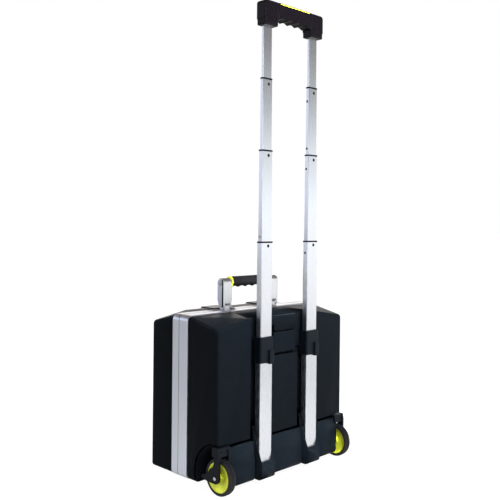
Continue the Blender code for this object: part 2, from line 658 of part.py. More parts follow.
def make_handle_arms():
    centre = (HANDLE_Y, HANDLE_TOP - HANDLE_HALF_DEPTH)
    pivot = (PIVOT_Y, PIVOT_Z)
    middle = (HANDLE_INNER + HANDLE_OUTER) / 2
    for name, side in SIDES:
        bar = on_side(prism(arm_outline(), "X", HANDLE_INNER, HANDLE_OUTER), side)
        arm = piece(f"handle_arm_{name}", bar, "cast", "carry_handle")
        soften(arm, 0.0012, 1, 50)
        slot_half = TAB_HALF_WIDTH + GAP
        slot = box((middle - slot_half, PIVOT_Y - 0.03, 0.39), (middle + slot_half, PIVOT_Y + 0.03, FORK_SLOT_TOP))
        boolean(arm, cutter(f"fork_slot_{name}", on_side(slot, side)))
        hole = [(HANDLE_INNER - 0.01, 0), (HANDLE_INNER - 0.01, 0.0024)]
        hole += [(HANDLE_OUTER + 0.01, 0.0024), (HANDLE_OUTER + 0.01, 0)]
        boolean(arm, cutter(f"arm_bore_{name}", on_side(turned(hole, pivot, 16), side)))
        tab = arc(pivot, 0.0064, 0, 180, 8) + [(PIVOT_Y - 0.0064, 0.4035), (PIVOT_Y - 0.0064, FRAME_TOP + GAP)]
        tab += [(PIVOT_Y + 0.0125, FRAME_TOP + GAP), (PIVOT_Y + 0.0125, 0.4036), (PIVOT_Y + 0.0064, 0.4036)]
        plate = on_side(prism(tab, "X", middle - TAB_HALF_WIDTH, middle + TAB_HALF_WIDTH), side)
        mount = piece(f"handle_mount_{name}", plate, "cast", "case")
        boolean(mount, cutter(f"tab_bore_{name}", on_side(turned(hole, pivot, 16), side)))
        pin = [(HANDLE_INNER + 0.001, 0), (HANDLE_INNER + 0.001, 0.0021)]
        pin += [(HANDLE_OUTER - 0.001, 0.0021), (HANDLE_OUTER - 0.001, 0)]
        piece(f"handle_pin_{name}", on_side(turned(pin, pivot, 16), side), "steel", "case", smooth=True)
        screw = [(HANDLE_OUTER + GAP, 0), (HANDLE_OUTER + GAP, 0.0075), (HANDLE_OUTER + 0.0018, 0.0070)]
        screw += [(HANDLE_OUTER + 0.0018, 0.0035), (HANDLE_OUTER + 0.0009, 0.0028), (HANDLE_OUTER + 0.0009, 0)]
        head = on_side(turned(screw, centre, 20), side)
        piece(f"handle_screw_{name}", head, "steel", "carry_handle", smooth=True)


def make_handle_grip():
    """A ribbed grip with finger scallops underneath, lofted through rings across X."""
    end = HANDLE_INNER - RING_WIDTH - 2 * GAP
    centre_z = HANDLE_TOP - HANDLE_HALF_DEPTH + 0.0005
    stations, around, fingers = 20, 16, 5
    bm = bmesh.new()
    rings = []
    for i in range(stations + 1):
        x = -end + 2 * end * i / stations
        scallop = 0.0022 * abs(math.cos(HALF_TURN * fingers * i / stations))
        ring = []
        for k in range(around):
            angle = 2 * HALF_TURN * k / around
            y, z = GRIP_RADIUS_Y * math.cos(angle), GRIP_RADIUS_Z * math.sin(angle)
            lift = (0.0022 - scallop) * max(0.0, -math.sin(angle))
            ring.append(bm.verts.new((x, HANDLE_Y + y, centre_z + z + lift)))
        rings.append(ring)
    for ring, following in zip(rings, rings[1:]):
        for k in range(around):
            j = (k + 1) % around
            bm.faces.new((ring[k], ring[j], following[j], following[k]))
    bm.faces.new(rings[0])
    bm.faces.new(rings[-1])
    piece("handle_grip", bm, "black_plastic", "carry_handle", smooth=True)
    for name, side in SIDES:
        start = HANDLE_INNER - RING_WIDTH - GAP
        outline = arc((0, 0), 1, 0, 360, 24)[:-1]
        oval = [
            (HANDLE_Y + (GRIP_RADIUS_Y + RING_PROUD) * u, centre_z + (GRIP_RADIUS_Z + RING_PROUD) * v) for u, v in outline
        ]
        ring = prism(oval, "X", start, HANDLE_INNER - GAP)
        piece(f"grip_ring_{name}", on_side(ring, side), "lime", "carry_handle", smooth=True)


# Lid hinges, latches and feet


def hinge_leaf(name, body, side, along, knuckles):
    """A leaf under the frame with its knuckles round the hinge pin. along is +1 towards the back."""
    start, end = HINGE_X - HINGE_HALF_LENGTH, HINGE_X + HINGE_HALF_LENGTH
    axis = (CREASE, HINGE_Z)
    far = CREASE + along * 0.020
    plate_top, plate_bottom = FRAME_BOTTOM - GAP, FRAME_BOTTOM - 0.0020
    near = CREASE + along * 0.0006
    outline = [(near, plate_bottom - 0.0005), (near, plate_top), (far, plate_top), (far, plate_bottom)]
    outline += [(CREASE + along * 0.0045, plate_bottom)]
    leaf = piece(name, on_side(prism(outline, "X", start, end), side), "steel", body)
    for index, (low, high) in enumerate(knuckles):
        barrel = [(low, 0), (low, KNUCKLE_RADIUS), (high, KNUCKLE_RADIUS), (high, 0)]
        barrel_bm = on_side(turned(barrel, axis, 16), side)
        boolean(leaf, cutter(f"{name}_knuckle_{index}", barrel_bm), "UNION")
        lug_sides = sorted((near, CREASE + along * KNUCKLE_RADIUS))
        lug = box((low + GAP, lug_sides[0], HINGE_Z), (high - GAP, lug_sides[1], plate_top - GAP))
        boolean(leaf, cutter(f"{name}_lug_{index}", on_side(lug, side)), "UNION")
    bore = [(start - 0.01, 0), (start - 0.01, HINGE_PIN_RADIUS + 0.0003)]
    bore += [(end + 0.01, HINGE_PIN_RADIUS + 0.0003), (end + 0.01, 0)]
    boolean(leaf, cutter(f"{name}_bore", on_side(turned(bore, axis, 16), side)))


def make_hinges():
    start, end, third = HINGE_X - HINGE_HALF_LENGTH, HINGE_X + HINGE_HALF_LENGTH, 2 * HINGE_HALF_LENGTH / 3
    outer_knuckles = ((start, start + third - GAP), (end - third + GAP, end))
    middle_knuckle = ((start + third + GAP, end - third - GAP),)
    for name, side in SIDES:
        hinge_leaf(f"hinge_leaf_rear_{name}", "case", side, 1, outer_knuckles)
        hinge_leaf(f"hinge_leaf_lid_{name}", "lid", side, -1, middle_knuckle)
        pin = [(start + 0.0005, 0), (start + 0.0005, HINGE_PIN_RADIUS)]
        pin += [(end - 0.0005, HINGE_PIN_RADIUS), (end - 0.0005, 0)]
        shaft = on_side(turned(pin, (CREASE, HINGE_Z), 12), side)
        piece(f"hinge_pin_{name}", shaft, "steel", "case", smooth=True)


def make_latches():
    base_top = FRAME_TOP + 0.0015
    lever_bottom, lever_top = LATCH_AXIS_Z - LEVER_HALF_THICKNESS, LATCH_AXIS_Z + LEVER_HALF_THICKNESS
    claw_end = CREASE + 0.010
    lever_end = CREASE - 0.012
    start, end = LATCH_X - LATCH_HALF_WIDTH, LATCH_X + LATCH_HALF_WIDTH
    for name, side in SIDES:
        plate = box((start, LATCH_AXIS_Y - 0.004, FRAME_TOP + GAP), (end, lever_end, base_top))
        piece(f"latch_base_{name}", on_side(plate, side), "steel", "lid")
        outline = arc((LATCH_AXIS_Y, LATCH_AXIS_Z), LEVER_HALF_THICKNESS, 90, 270, 6)
        outline += [(lever_end, lever_bottom), (lever_end, lever_top)]
        body = f"latch_{name}"
        lever_bm = on_side(prism(outline, "X", start, end), side)
        lever = piece(f"latch_lever_{name}", lever_bm, "black_plastic", body)
        low, high = CLAW_X - CLAW_HALF_WIDTH, CLAW_X + CLAW_HALF_WIDTH
        claw = box((low, lever_end - 0.004, lever_bottom + 0.0002), (high, claw_end, lever_top - 0.0006))
        boolean(lever, cutter(f"claw_{name}", on_side(claw, side)), "UNION")
        keeper = box((low, CREASE + 0.001, FRAME_TOP + GAP), (high, claw_end + 0.004, base_top))
        piece(f"latch_keeper_{name}", on_side(keeper, side), "steel", "case")


def make_feet():
    for name, side in SIDES:
        rings = arc((side * FOOT_X, FOOT_Y), FOOT_RADIUS, 0, 360, 20)[:-1]
        foot = piece(f"foot_{name}", prism(rings, "Z", 0.0, SHELL_BOTTOM - GAP), "rubber", "lid", smooth=True)
        soften(foot, 0.002, 2, 50)


def make_bodies():
    body_axis("case", (0, 0, 0))
    body_axis("lid", (0, CREASE, HINGE_Z), "case")
    for name, side in SIDES:
        body_axis(f"latch_{name}", (side * LATCH_X, LATCH_AXIS_Y, LATCH_AXIS_Z), "lid")
        body_axis(f"wheel_{name}", (side * AXLE_END, WHEEL_Y, WHEEL_RADIUS), "case")
    body_axis("carry_handle", (0, PIVOT_Y, PIVOT_Z), "case")
    parent = "case"
    for stage, top in zip(STAGE_NAMES, STAGE_TOPS):
        body_axis(f"stage_{stage}", (0, TUBE_Y, top), parent)
        parent = f"stage_{stage}"
    body_axis("release_button_body", (0, (PULL_FRONT + PULL_BACK) / 2, PULL_TOP), parent)


def main():
    clear_scene()
    make_materials()
    make_bodies()
    make_rear_shell()
    make_lid_shell()
    make_frames()
    make_rails_and_clamps()
    make_stages()
    make_pull_grip()
    make_wheels()
    make_brackets()
    make_carriage()
    make_handle_arms()
    make_handle_grip()
    make_hinges()
    make_latches()
    make_feet()


main()
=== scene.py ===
"""Looks of a rolling tool box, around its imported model: finishes, fine moulded detail and fasteners."""

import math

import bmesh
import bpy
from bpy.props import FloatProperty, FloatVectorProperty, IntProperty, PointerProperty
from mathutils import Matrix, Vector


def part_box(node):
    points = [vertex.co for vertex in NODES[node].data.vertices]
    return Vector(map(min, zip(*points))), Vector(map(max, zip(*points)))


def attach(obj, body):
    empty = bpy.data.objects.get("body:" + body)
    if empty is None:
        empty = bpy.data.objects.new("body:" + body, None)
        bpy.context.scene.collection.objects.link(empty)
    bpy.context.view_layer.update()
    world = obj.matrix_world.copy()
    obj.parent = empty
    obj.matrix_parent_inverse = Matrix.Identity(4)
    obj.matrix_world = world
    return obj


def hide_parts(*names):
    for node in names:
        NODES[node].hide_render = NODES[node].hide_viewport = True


bl_info = {
    "name": "Rolling tool box finishes",
    "version": (1, 0, 0),
    "blender": (4, 5, 0),
    "location": "3D View > Sidebar > Tool Box",
    "description": "Finishes and fine detail for a wheeled hard-shell tool case",
    "category": "Object",
}

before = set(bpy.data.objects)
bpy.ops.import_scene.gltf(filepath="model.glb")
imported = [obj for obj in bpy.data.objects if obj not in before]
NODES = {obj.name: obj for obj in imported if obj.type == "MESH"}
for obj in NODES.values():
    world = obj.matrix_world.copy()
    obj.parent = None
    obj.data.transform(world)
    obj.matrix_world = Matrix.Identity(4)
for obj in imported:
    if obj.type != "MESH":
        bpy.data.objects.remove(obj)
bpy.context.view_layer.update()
SIDES = (("left", -1), ("right", 1))
MM = 0.001
PIN_RADIUS = 3.9 * MM
PIN_OFFSET = 3.0 * MM
HOLE_RADIUS = 3.0 * MM
PINS_BELOW_TOP = (("a", 7.0 * MM), ("b", 9.5 * MM), ("c", 10.5 * MM))
PULL_INNER = 58.5 * MM
PULL_NECK_STEP = 2.2 * MM
PULL_BLOCK_HEIGHT = 44.0 * MM
PULL_BAR_HEIGHT = 40.0 * MM
FINGERS = 4
FINGER_RISE = 4.5 * MM
BUTTON_ROOM = 0.5 * MM
SEAM = 0.35 * MM
# Stage, facing (1 outward, -1 inward), the joint measured from and the height above it
SIDE_HOLES = (
    ("a", -1, "a", -27 * MM),
    ("b", 1, "a", 15 * MM),
    ("b", -1, "b", -33 * MM),
    ("c", -1, "b", 19 * MM),
    ("c", -1, "c", -33 * MM),
)


# Settings that a user would change


def colour_property(name, description, default):
    return FloatVectorProperty(
        name=name, description=description, default=default, subtype="COLOR", min=0.0, max=1.0, size=3
    )


class FinishSettings(bpy.types.PropertyGroup):
    shell_colour: colour_property("Shell", "Colour of the moulded half shells", (0.0030, 0.0044, 0.0062))
    black_colour: colour_property("Black parts", "Colour of the fine mouldings", (0.0026, 0.0042, 0.0062))
    grip_colour: colour_property("Pull grip", "Colour of the pull handle's grip", (0.0018, 0.0013, 0.0022))
    lime_colour: colour_property("Accent", "Colour of the hubs, rings and button", (0.72, 0.78, 0.045))
    frame_colour: colour_property("Frame", "Colour of the anodised frame", (0.78, 0.82, 0.90))
    tube_colour: colour_property("Tubes", "Colour of the anodised pull handle tubes", (0.83, 0.86, 0.90))
    shell_roughness: FloatProperty(
        name="Shell roughness", description="Roughness of the shells", default=0.42, min=0.05, max=1.0
    )
    grain_size: FloatProperty(
        name="Grain size", description="Size of one cell of the grain", default=1.1 * MM, unit="LENGTH"
    )
    grain_depth: FloatProperty(
        name="Grain depth", description="Depth of the moulded grain", default=0.12 * MM, unit="LENGTH"
    )


class DetailSettings(bpy.types.PropertyGroup):
    edge_radius: FloatProperty(
        name="Edge radius", description="Radius on the small parts' edges", default=0.7 * MM, unit="LENGTH"
    )
    screw_radius: FloatProperty(
        name="Screw head", description="Radius of a small screw's head", default=2.6 * MM, unit="LENGTH"
    )
    tyre_grooves: IntProperty(
        name="Tyre grooves", description="Grooves around a tyre's tread", default=2, min=0, max=5
    )
    grip_ribs: IntProperty(
        name="Grip ribs", description="Ribs along the carry handle's grip", default=30, min=4, max=80
    )


class StageSettings(bpy.types.PropertyGroup):
    camera_place: FloatVectorProperty(
        name="Camera",
        description="Place of the camera",
        default=(1.3352, 1.3115, 0.6251),
        subtype="XYZ",
        unit="LENGTH",
    )
    camera_turn: FloatProperty(
        name="Turn",
        description="Direction that the camera looks from",
        default=math.radians(45.04),
        subtype="ANGLE",
    )
    camera_roll: FloatProperty(
        name="Roll",
        description="Tilt of the camera about its view",
        default=math.radians(0.559),
        subtype="ANGLE",
    )
    lens: FloatProperty(name="Lens", description="Focal length in millimetres", default=52.16, min=10.0)
    floor_colour: colour_property("Floor", "Colour of the floor", (0.17, 0.17, 0.17))


# Shader node groups, each made once


def socket_type(default):
    return "NodeSocketColor" if isinstance(default, tuple) else "NodeSocketFloat"


def node_group(name, inputs, outputs):
    """An empty shader group with named inputs (name, default) and outputs (name, socket type)."""
    tree = bpy.data.node_groups.new(name, "ShaderNodeTree")
    for label, default in inputs:
        socket = tree.interface.new_socket(label, in_out="INPUT", socket_type=socket_type(default))
        socket.default_value = default
    for label, kind in outputs:
        tree.interface.new_socket(label, in_out="OUTPUT", socket_type=kind)
    return tree, tree.nodes.new("NodeGroupInput"), tree.nodes.new("NodeGroupOutput")


def math_node(tree, operation, first, second=None, clamp=False):
    node = tree.nodes.new("ShaderNodeMath")
    node.operation = operation
    node.use_clamp = clamp
    for socket, value in zip(node.inputs, (first, second)):
        if value is None:
            continue
        if isinstance(value, (int, float)):
            socket.default_value = value
        else:
            tree.links.new(value, socket)
    return node.outputs[0]


def object_point(tree, stretch=(1, 1, 1)):
    """Object coordinates in metres, stretched along each axis."""
    place = tree.nodes.new("ShaderNodeTexCoord")
    mapping = tree.nodes.new("ShaderNodeMapping")
    mapping.inputs["Scale"].default_value = stretch
    tree.links.new(place.outputs["Object"], mapping.inputs["Vector"])
    return mapping.outputs["Vector"]


def noise_value(tree, point, scale, detail=3.0, roughness=0.55):
    noise = tree.nodes.new("ShaderNodeTexNoise")
    noise.inputs["Detail"].default_value = detail
    noise.inputs["Roughness"].default_value = roughness
    tree.links.new(point, noise.inputs["Vector"])
    if isinstance(scale, (int, float)):
        noise.inputs["Scale"].default_value = scale
    else:
        tree.links.new(scale, noise.inputs["Scale"])
    return noise.outputs["Fac"]


def ramp(tree, value, low, high, to_low=0.0, to_high=1.0):
    node = tree.nodes.new("ShaderNodeMapRange")
    node.interpolation_type = "SMOOTHSTEP"
    for label, number in (("From Min", low), ("From Max", high), ("To Min", to_low), ("To Max", to_high)):
        node.inputs[label].default_value = number
    tree.links.new(value, node.inputs["Value"])
    return node.outputs["Result"]


def moulded_grain_group():
    """Fine cells of a spark-eroded mould, with a slower unevenness over them."""
    tree, given, made = node_group(
        "moulded_grain",
        [("Cell Size", 1.1 * MM)],
        [("Height", "NodeSocketFloat"), ("Mottle", "NodeSocketFloat")],
    )
    scale = math_node(tree, "DIVIDE", 1.0, given.outputs["Cell Size"])
    point = object_point(tree)
    cells = tree.nodes.new("ShaderNodeTexVoronoi")
    cells.feature = "SMOOTH_F1"
    tree.links.new(point, cells.inputs["Vector"])
    tree.links.new(scale, cells.inputs["Scale"])
    fine = noise_value(tree, point, scale, 2.0)
    height = math_node(tree, "ADD", cells.outputs["Distance"], fine)
    tree.links.new(height, made.inputs["Height"])
    slow = math_node(tree, "MULTIPLY", scale, 0.06)
    tree.links.new(noise_value(tree, point, slow, 4.0), made.inputs["Mottle"])
    return tree


def edge_wear_and_highlight_group():
    """A broken mask along the outer edges, where handling rubs a finish down; on the plastics it also lays a
    painted highlight along the edges.
    """
    tree, given, made = node_group(
        "edge_wear_and_highlight", [("Width", 1.5 * MM), ("Amount", 0.5)], [("Mask", "NodeSocketFloat")]
    )
    bevel = tree.nodes.new("ShaderNodeBevel")
    bevel.samples = 4
    tree.links.new(given.outputs["Width"], bevel.inputs["Radius"])
    surface = tree.nodes.new("ShaderNodeNewGeometry")
    dot = tree.nodes.new("ShaderNodeVectorMath")
    dot.operation = "DOT_PRODUCT"
    tree.links.new(bevel.outputs["Normal"], dot.inputs[0])
    tree.links.new(surface.outputs["Normal"], dot.inputs[1])
    turn = math_node(tree, "SUBTRACT", 1.0, dot.outputs["Value"])
    edge = ramp(tree, turn, 0.01, 0.22)
    patches = ramp(tree, noise_value(tree, object_point(tree), 90.0, 5.0), 0.38, 0.68)
    worn = math_node(tree, "MULTIPLY", edge, patches)
    tree.links.new(math_node(tree, "MULTIPLY", worn, given.outputs["Amount"], True), made.inputs["Mask"])
    return tree


def handling_group():
    """Slow smudges and sparse fine scratches that change how a surface shines."""
    tree, given, made = node_group(
        "handling_marks", [("Amount", 0.5)], [("Smudge", "NodeSocketFloat"), ("Scratch", "NodeSocketFloat")]
    )
    smudge = ramp(tree, noise_value(tree, object_point(tree), 9.0, 5.0, 0.6), 0.35, 0.75)
    tree.links.new(math_node(tree, "MULTIPLY", smudge, given.outputs["Amount"]), made.inputs["Smudge"])
    streaks = noise_value(tree, object_point(tree, (26, 900, 120)), 1.0, 2.0)
    scratch = ramp(tree, streaks, 0.70, 0.76)
    tree.links.new(math_node(tree, "MULTIPLY", scratch, given.outputs["Amount"]), made.inputs["Scratch"])
    return tree


def drawn_metal_group():
    """The fine die lines of drawn aluminium, which run along Z, X or Y by how the point is stretched."""
    tree, given, made = node_group(
        "drawn_lines",
        [("Along X", 1.0), ("Along Y", 1.0), ("Along Z", 0.01), ("Pitch", 0.4 * MM)],
        [("Lines", "NodeSocketFloat"), ("Bands", "NodeSocketFloat")],
    )
    place = tree.nodes.new("ShaderNodeTexCoord")
    combine = tree.nodes.new("ShaderNodeCombineXYZ")
    for socket, label in zip(combine.inputs, ("Along X", "Along Y", "Along Z")):
        tree.links.new(given.outputs[label], socket)
    stretched = tree.nodes.new("ShaderNodeVectorMath")
    stretched.operation = "MULTIPLY"
    tree.links.new(place.outputs["Object"], stretched.inputs[0])
    tree.links.new(combine.outputs["Vector"], stretched.inputs[1])
    scale = math_node(tree, "DIVIDE", 1.0, given.outputs["Pitch"])
    point = stretched.outputs["Vector"]
    tree.links.new(noise_value(tree, point, scale, 3.0), made.inputs["Lines"])
    wide = math_node(tree, "MULTIPLY", scale, 0.08)
    tree.links.new(noise_value(tree, point, wide, 2.0), made.inputs["Bands"])
    return tree


GROUPS = {}


def effect(tree, name, **values):
    """One of the shared effects placed in a material, with its own values."""
    makers = {
        "moulded_grain": moulded_grain_group,
        "edge_wear_and_highlight": edge_wear_and_highlight_group,
        "handling_marks": handling_group,
        "drawn_lines": drawn_metal_group,
    }
    if name not in GROUPS:
        GROUPS[name] = makers[name]()
    node = tree.nodes.new("ShaderNodeGroup")
    node.node_tree = GROUPS[name]
    for label, value in values.items():
        node.inputs[label.replace("_", " ")].default_value = value
    return node


def mix_colours(tree, mask, first, second):
    node = tree.nodes.new("ShaderNodeMix")
    node.data_type = "RGBA"
    factor, one, two = node.inputs[0], node.inputs[6], node.inputs[7]
    tree.links.new(mask, factor)
    for socket, value in ((one, first), (two, second)):
        if isinstance(value, bpy.types.NodeSocket):
            tree.links.new(value, socket)
        else:
            socket.default_value = (*value, 1.0)
    return node.outputs[2]


def scaled(colour, factor):
    return tuple(min(1.0, channel * factor) for channel in colour)


def new_material(name):
    material = bpy.data.materials.new(name)
    material.use_nodes = True
    tree = material.node_tree
    return material, tree, tree.nodes["Principled BSDF"]


def add_bump(tree, shader, height, distance, strength=1.0):
    bump = tree.nodes.new("ShaderNodeBump")
    bump.inputs["Distance"].default_value = distance
    bump.inputs["Strength"].default_value = strength
    tree.links.new(height, bump.inputs["Height"])
    tree.links.new(bump.outputs["Normal"], shader.inputs["Normal"])


def moulded_plastic(name, colour, roughness, cell, depth, wear_and_highlight, specular):
    """Moulded plastic: grain, mottled shade, smudges, and edges painted lighter, partly as rubbing and
    partly as a painted highlight.
    """
    material, tree, shader = new_material(name)
    grain = effect(tree, "moulded_grain", Cell_Size=cell)
    marks = effect(tree, "handling_marks", Amount=0.5)
    rubbed_and_highlighted = effect(tree, "edge_wear_and_highlight", Width=1.6 * MM, Amount=wear_and_highlight)
    base = mix_colours(tree, grain.outputs["Mottle"], scaled(colour, 0.82), scaled(colour, 1.2))
    # Lighter edge colour: partly rubbing, partly a painted highlight along the rounded edges.
    worn_and_highlight_colour = tuple(0.75 * channel + 0.06 for channel in colour)
    tree.links.new(mix_colours(tree, rubbed_and_highlighted.outputs["Mask"], base, worn_and_highlight_colour), shader.inputs["Base Color"])
    uneven = math_node(tree, "MULTIPLY_ADD", grain.outputs["Mottle"], 0.16)
    uneven.node.inputs[2].default_value = roughness - 0.08
    shone = math_node(tree, "MULTIPLY", marks.outputs["Smudge"], 0.12)
    smooth = math_node(tree, "SUBTRACT", uneven, shone)
    polish = math_node(tree, "MULTIPLY", rubbed_and_highlighted.outputs["Mask"], 0.15)
    tree.links.new(math_node(tree, "SUBTRACT", smooth, polish, True), shader.inputs["Roughness"])
    shader.inputs["Specular IOR Level"].default_value = specular
    add_bump(tree, shader, grain.outputs["Height"], depth)
    return material


def anodised_metal(name, colour, roughness, along, wear_and_highlight=0.15, pitch=0.4 * MM):
    """Satin anodised aluminium with die lines along one axis, and bare brighter edges."""
    material, tree, shader = new_material(name)
    stretch = {f"Along_{axis}": 0.01 if axis == along else 1.0 for axis in "XYZ"}
    drawn = effect(tree, "drawn_lines", Pitch=pitch, **stretch)
    marks = effect(tree, "handling_marks", Amount=0.25)
    rubbed_and_highlighted = effect(tree, "edge_wear_and_highlight", Width=0.9 * MM, Amount=wear_and_highlight)
    base = mix_colours(tree, drawn.outputs["Bands"], scaled(colour, 0.97), scaled(colour, 1.03))
    scuffed = mix_colours(tree, marks.outputs["Scratch"], base, scaled(colour, 0.8))
    bare = mix_colours(tree, rubbed_and_highlighted.outputs["Mask"], scuffed, scaled(colour, 1.15))
    tree.links.new(bare, shader.inputs["Base Color"])
    shader.inputs["Metallic"].default_value = 1.0
    shader.inputs["Anisotropic"].default_value = 0.45
    lines = math_node(tree, "MULTIPLY_ADD", drawn.outputs["Lines"], 0.18)
    lines.node.inputs[2].default_value = roughness - 0.09
    smudged = math_node(tree, "MULTIPLY", marks.outputs["Smudge"], 0.10)
    tree.links.new(math_node(tree, "ADD", lines, smudged, True), shader.inputs["Roughness"])
    add_bump(tree, shader, drawn.outputs["Lines"], 0.01 * MM, 0.5)
    return material


def cast_metal(name, colour, roughness, wear_and_highlight=0.5):
    """Blasted and lacquered casting: a fine pebbled skin with polished edges."""
    material, tree, shader = new_material(name)
    grain = effect(tree, "moulded_grain", Cell_Size=0.7 * MM)
    marks = effect(tree, "handling_marks", Amount=0.7)
    rubbed_and_highlighted = effect(tree, "edge_wear_and_highlight", Width=1.0 * MM, Amount=wear_and_highlight)
    base = mix_colours(tree, grain.outputs["Mottle"], scaled(colour, 0.9), scaled(colour, 1.06))
    polished = mix_colours(tree, rubbed_and_highlighted.outputs["Mask"], base, scaled(colour, 1.2))
    tree.links.new(polished, shader.inputs["Base Color"])
    shader.inputs["Metallic"].default_value = 1.0
    smudged = math_node(tree, "MULTIPLY_ADD", marks.outputs["Smudge"], 0.12)
    smudged.node.inputs[2].default_value = roughness
    polish = math_node(tree, "MULTIPLY", rubbed_and_highlighted.outputs["Mask"], 0.12)
    tree.links.new(math_node(tree, "SUBTRACT", smudged, polish, True), shader.inputs["Roughness"])
    add_bump(tree, shader, grain.outputs["Height"], 0.03 * MM, 0.7)
    return material


DUST = 0.004
WORN_RUBBER = (0.020, 0.020, 0.022)


def rubber(name, colour):
    """Dull rubber: fine pores and patches of dust bloom."""
    material, tree, shader = new_material(name)
    grain = effect(tree, "moulded_grain", Cell_Size=0.5 * MM)
    marks = effect(tree, "handling_marks", Amount=0.9)
    rubbed_and_highlighted = effect(tree, "edge_wear_and_highlight", Width=1.2 * MM, Amount=0.6)
    dusty = mix_colours(tree, marks.outputs["Smudge"], colour, tuple(channel + DUST for channel in colour))
    worn = mix_colours(tree, rubbed_and_highlighted.outputs["Mask"], dusty, WORN_RUBBER)
    tree.links.new(worn, shader.inputs["Base Color"])
    rough = math_node(tree, "MULTIPLY_ADD", grain.outputs["Mottle"], 0.2)
    rough.node.inputs[2].default_value = 0.55
    tree.links.new(rough, shader.inputs["Roughness"])
    add_bump(tree, shader, grain.outputs["Height"], 0.05 * MM)
    return material


CAST_COLOUR = (0.94, 0.96, 0.99)
SLATE_COLOUR = (0.72, 0.74, 0.84)
STEEL_COLOUR = (0.60, 0.60, 0.62)
PIN_COLOUR = (0.003, 0.003, 0.004)
# Painted highlight: the shells' edge mask is set high, so their rounded edges are painted lighter as lines
# of light, besides rubbing.
SHELL_WEAR_AND_HIGHLIGHT = 0.32
SHELL_SPECULAR = 0.035
# Painted light: the wheel carriage gets the shells' finish made this many times lighter, a lit copy standing
# in for the light its curved top catches.
CARRIAGE_PAINTED_LIGHT_FACTOR = 1.9
MATERIALS = {}


def finish(name):
    """A finish of this object by name, made when it is first asked for."""
    if name in MATERIALS:
        return MATERIALS[name]
    look = bpy.context.scene.tool_box_finish
    shell, black = tuple(look.shell_colour), tuple(look.black_colour)
    grip, lime = tuple(look.grip_colour), tuple(look.lime_colour)

    def grained(colour):
        return moulded_plastic(
            name, colour, look.shell_roughness, look.grain_size, look.grain_depth, SHELL_WEAR_AND_HIGHLIGHT, SHELL_SPECULAR
        )

    makers = {
        "grained_abs": lambda: grained(shell),
        # Lit copy of the shells' finish for the carriage: painted light.
        "carriage_abs_painted_lighter": lambda: grained(scaled(shell, CARRIAGE_PAINTED_LIGHT_FACTOR)),
        "fine_black": lambda: moulded_plastic(name, black, 0.40, 0.6 * MM, 0.03 * MM, 0.12, 0.12),
        "grip_black": lambda: moulded_plastic(name, grip, 0.30, 0.6 * MM, 0.01 * MM, 0.06, 0.16),
        "grip_rubber": lambda: rubber(name, (0.0050, 0.0052, 0.0070)),
        "tyre_rubber": lambda: rubber(name, (0.0030, 0.0030, 0.0048)),
        "seal_rubber": lambda: rubber(name, (0.012, 0.012, 0.012)),
        "lime_plastic": lambda: moulded_plastic(name, lime, 0.34, 0.8 * MM, 0.02 * MM, 0.05, 0.4),
        "frame_aluminium": lambda: anodised_metal(name, tuple(look.frame_colour), 0.32, "Z"),
        "tube_aluminium": lambda: anodised_metal(name, tuple(look.tube_colour), 0.26, "Z"),
        "cast_aluminium": lambda: cast_metal(name, CAST_COLOUR, 0.34),
        "slate_paint": lambda: cast_metal(name, SLATE_COLOUR, 0.36),
        "zinc_steel": lambda: anodised_metal(name, STEEL_COLOUR, 0.30, "X", 0.5, 0.3 * MM),
        "black_steel": lambda: cast_metal(name, (0.035, 0.035, 0.04), 0.34, 0.8),
        "dark_pin": lambda: moulded_plastic(name, PIN_COLOUR, 0.5, 0.5 * MM, 0.01 * MM, 0.05, 0.1),
    }
    MATERIALS[name] = makers[name]()
    return MATERIALS[name]


# Mesh helpers


def box_of(node):
    """The lowest and highest corner of a CAD node."""
    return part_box(node)


def mesh_object(name, bm):
    bmesh.ops.recalc_face_normals(bm, faces=bm.faces)
    mesh = bpy.data.meshes.new(name)
    bm.to_mesh(mesh)
    bm.free()
    obj = bpy.data.objects.new(name, mesh)
    bpy.context.scene.collection.objects.link(obj)
    return obj


def smooth(obj, angle=35):
    obj.data.shade_smooth()
    obj.data.set_sharp_from_angle(angle=math.radians(angle))


def add_piece(name, bm, material, body, replaces=(), angle=35):
    obj = mesh_object(name, bm)
    smooth(obj, angle)
    obj.data.materials.append(finish(material))
    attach(obj, body)
    if replaces:
        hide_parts(*replaces)
    return obj


def round_edges(obj, width, segments=2, angle=35):
    modifier = obj.modifiers.new("round_edges", "BEVEL")
    modifier.width = width
    modifier.segments = segments
    modifier.limit_method = "ANGLE"
    modifier.angle_limit = math.radians(angle)
    modifier.use_clamp_overlap = True
    modifier.miter_outer = "MITER_ARC"


def dress(node, material, radius=0.0):
    """Gives a CAD node its finish, and breaks its sharp edges by radius."""
    obj = NODES[node]
    obj.data.materials.clear()
    obj.data.materials.append(finish(material))
    weld = obj.modifiers.new("weld", "WELD")
    weld.merge_threshold = 0.01 * MM
    flat = obj.modifiers.new("flat_faces", "DECIMATE")
    flat.decimate_type = "DISSOLVE"
    flat.angle_limit = math.radians(0.4)
    if radius > 0:
        round_edges(obj, radius)
    by_angle = obj.modifiers.new("flatten", "WEIGHTED_NORMAL")
    by_angle.keep_sharp = True
    smooth(obj, 40)


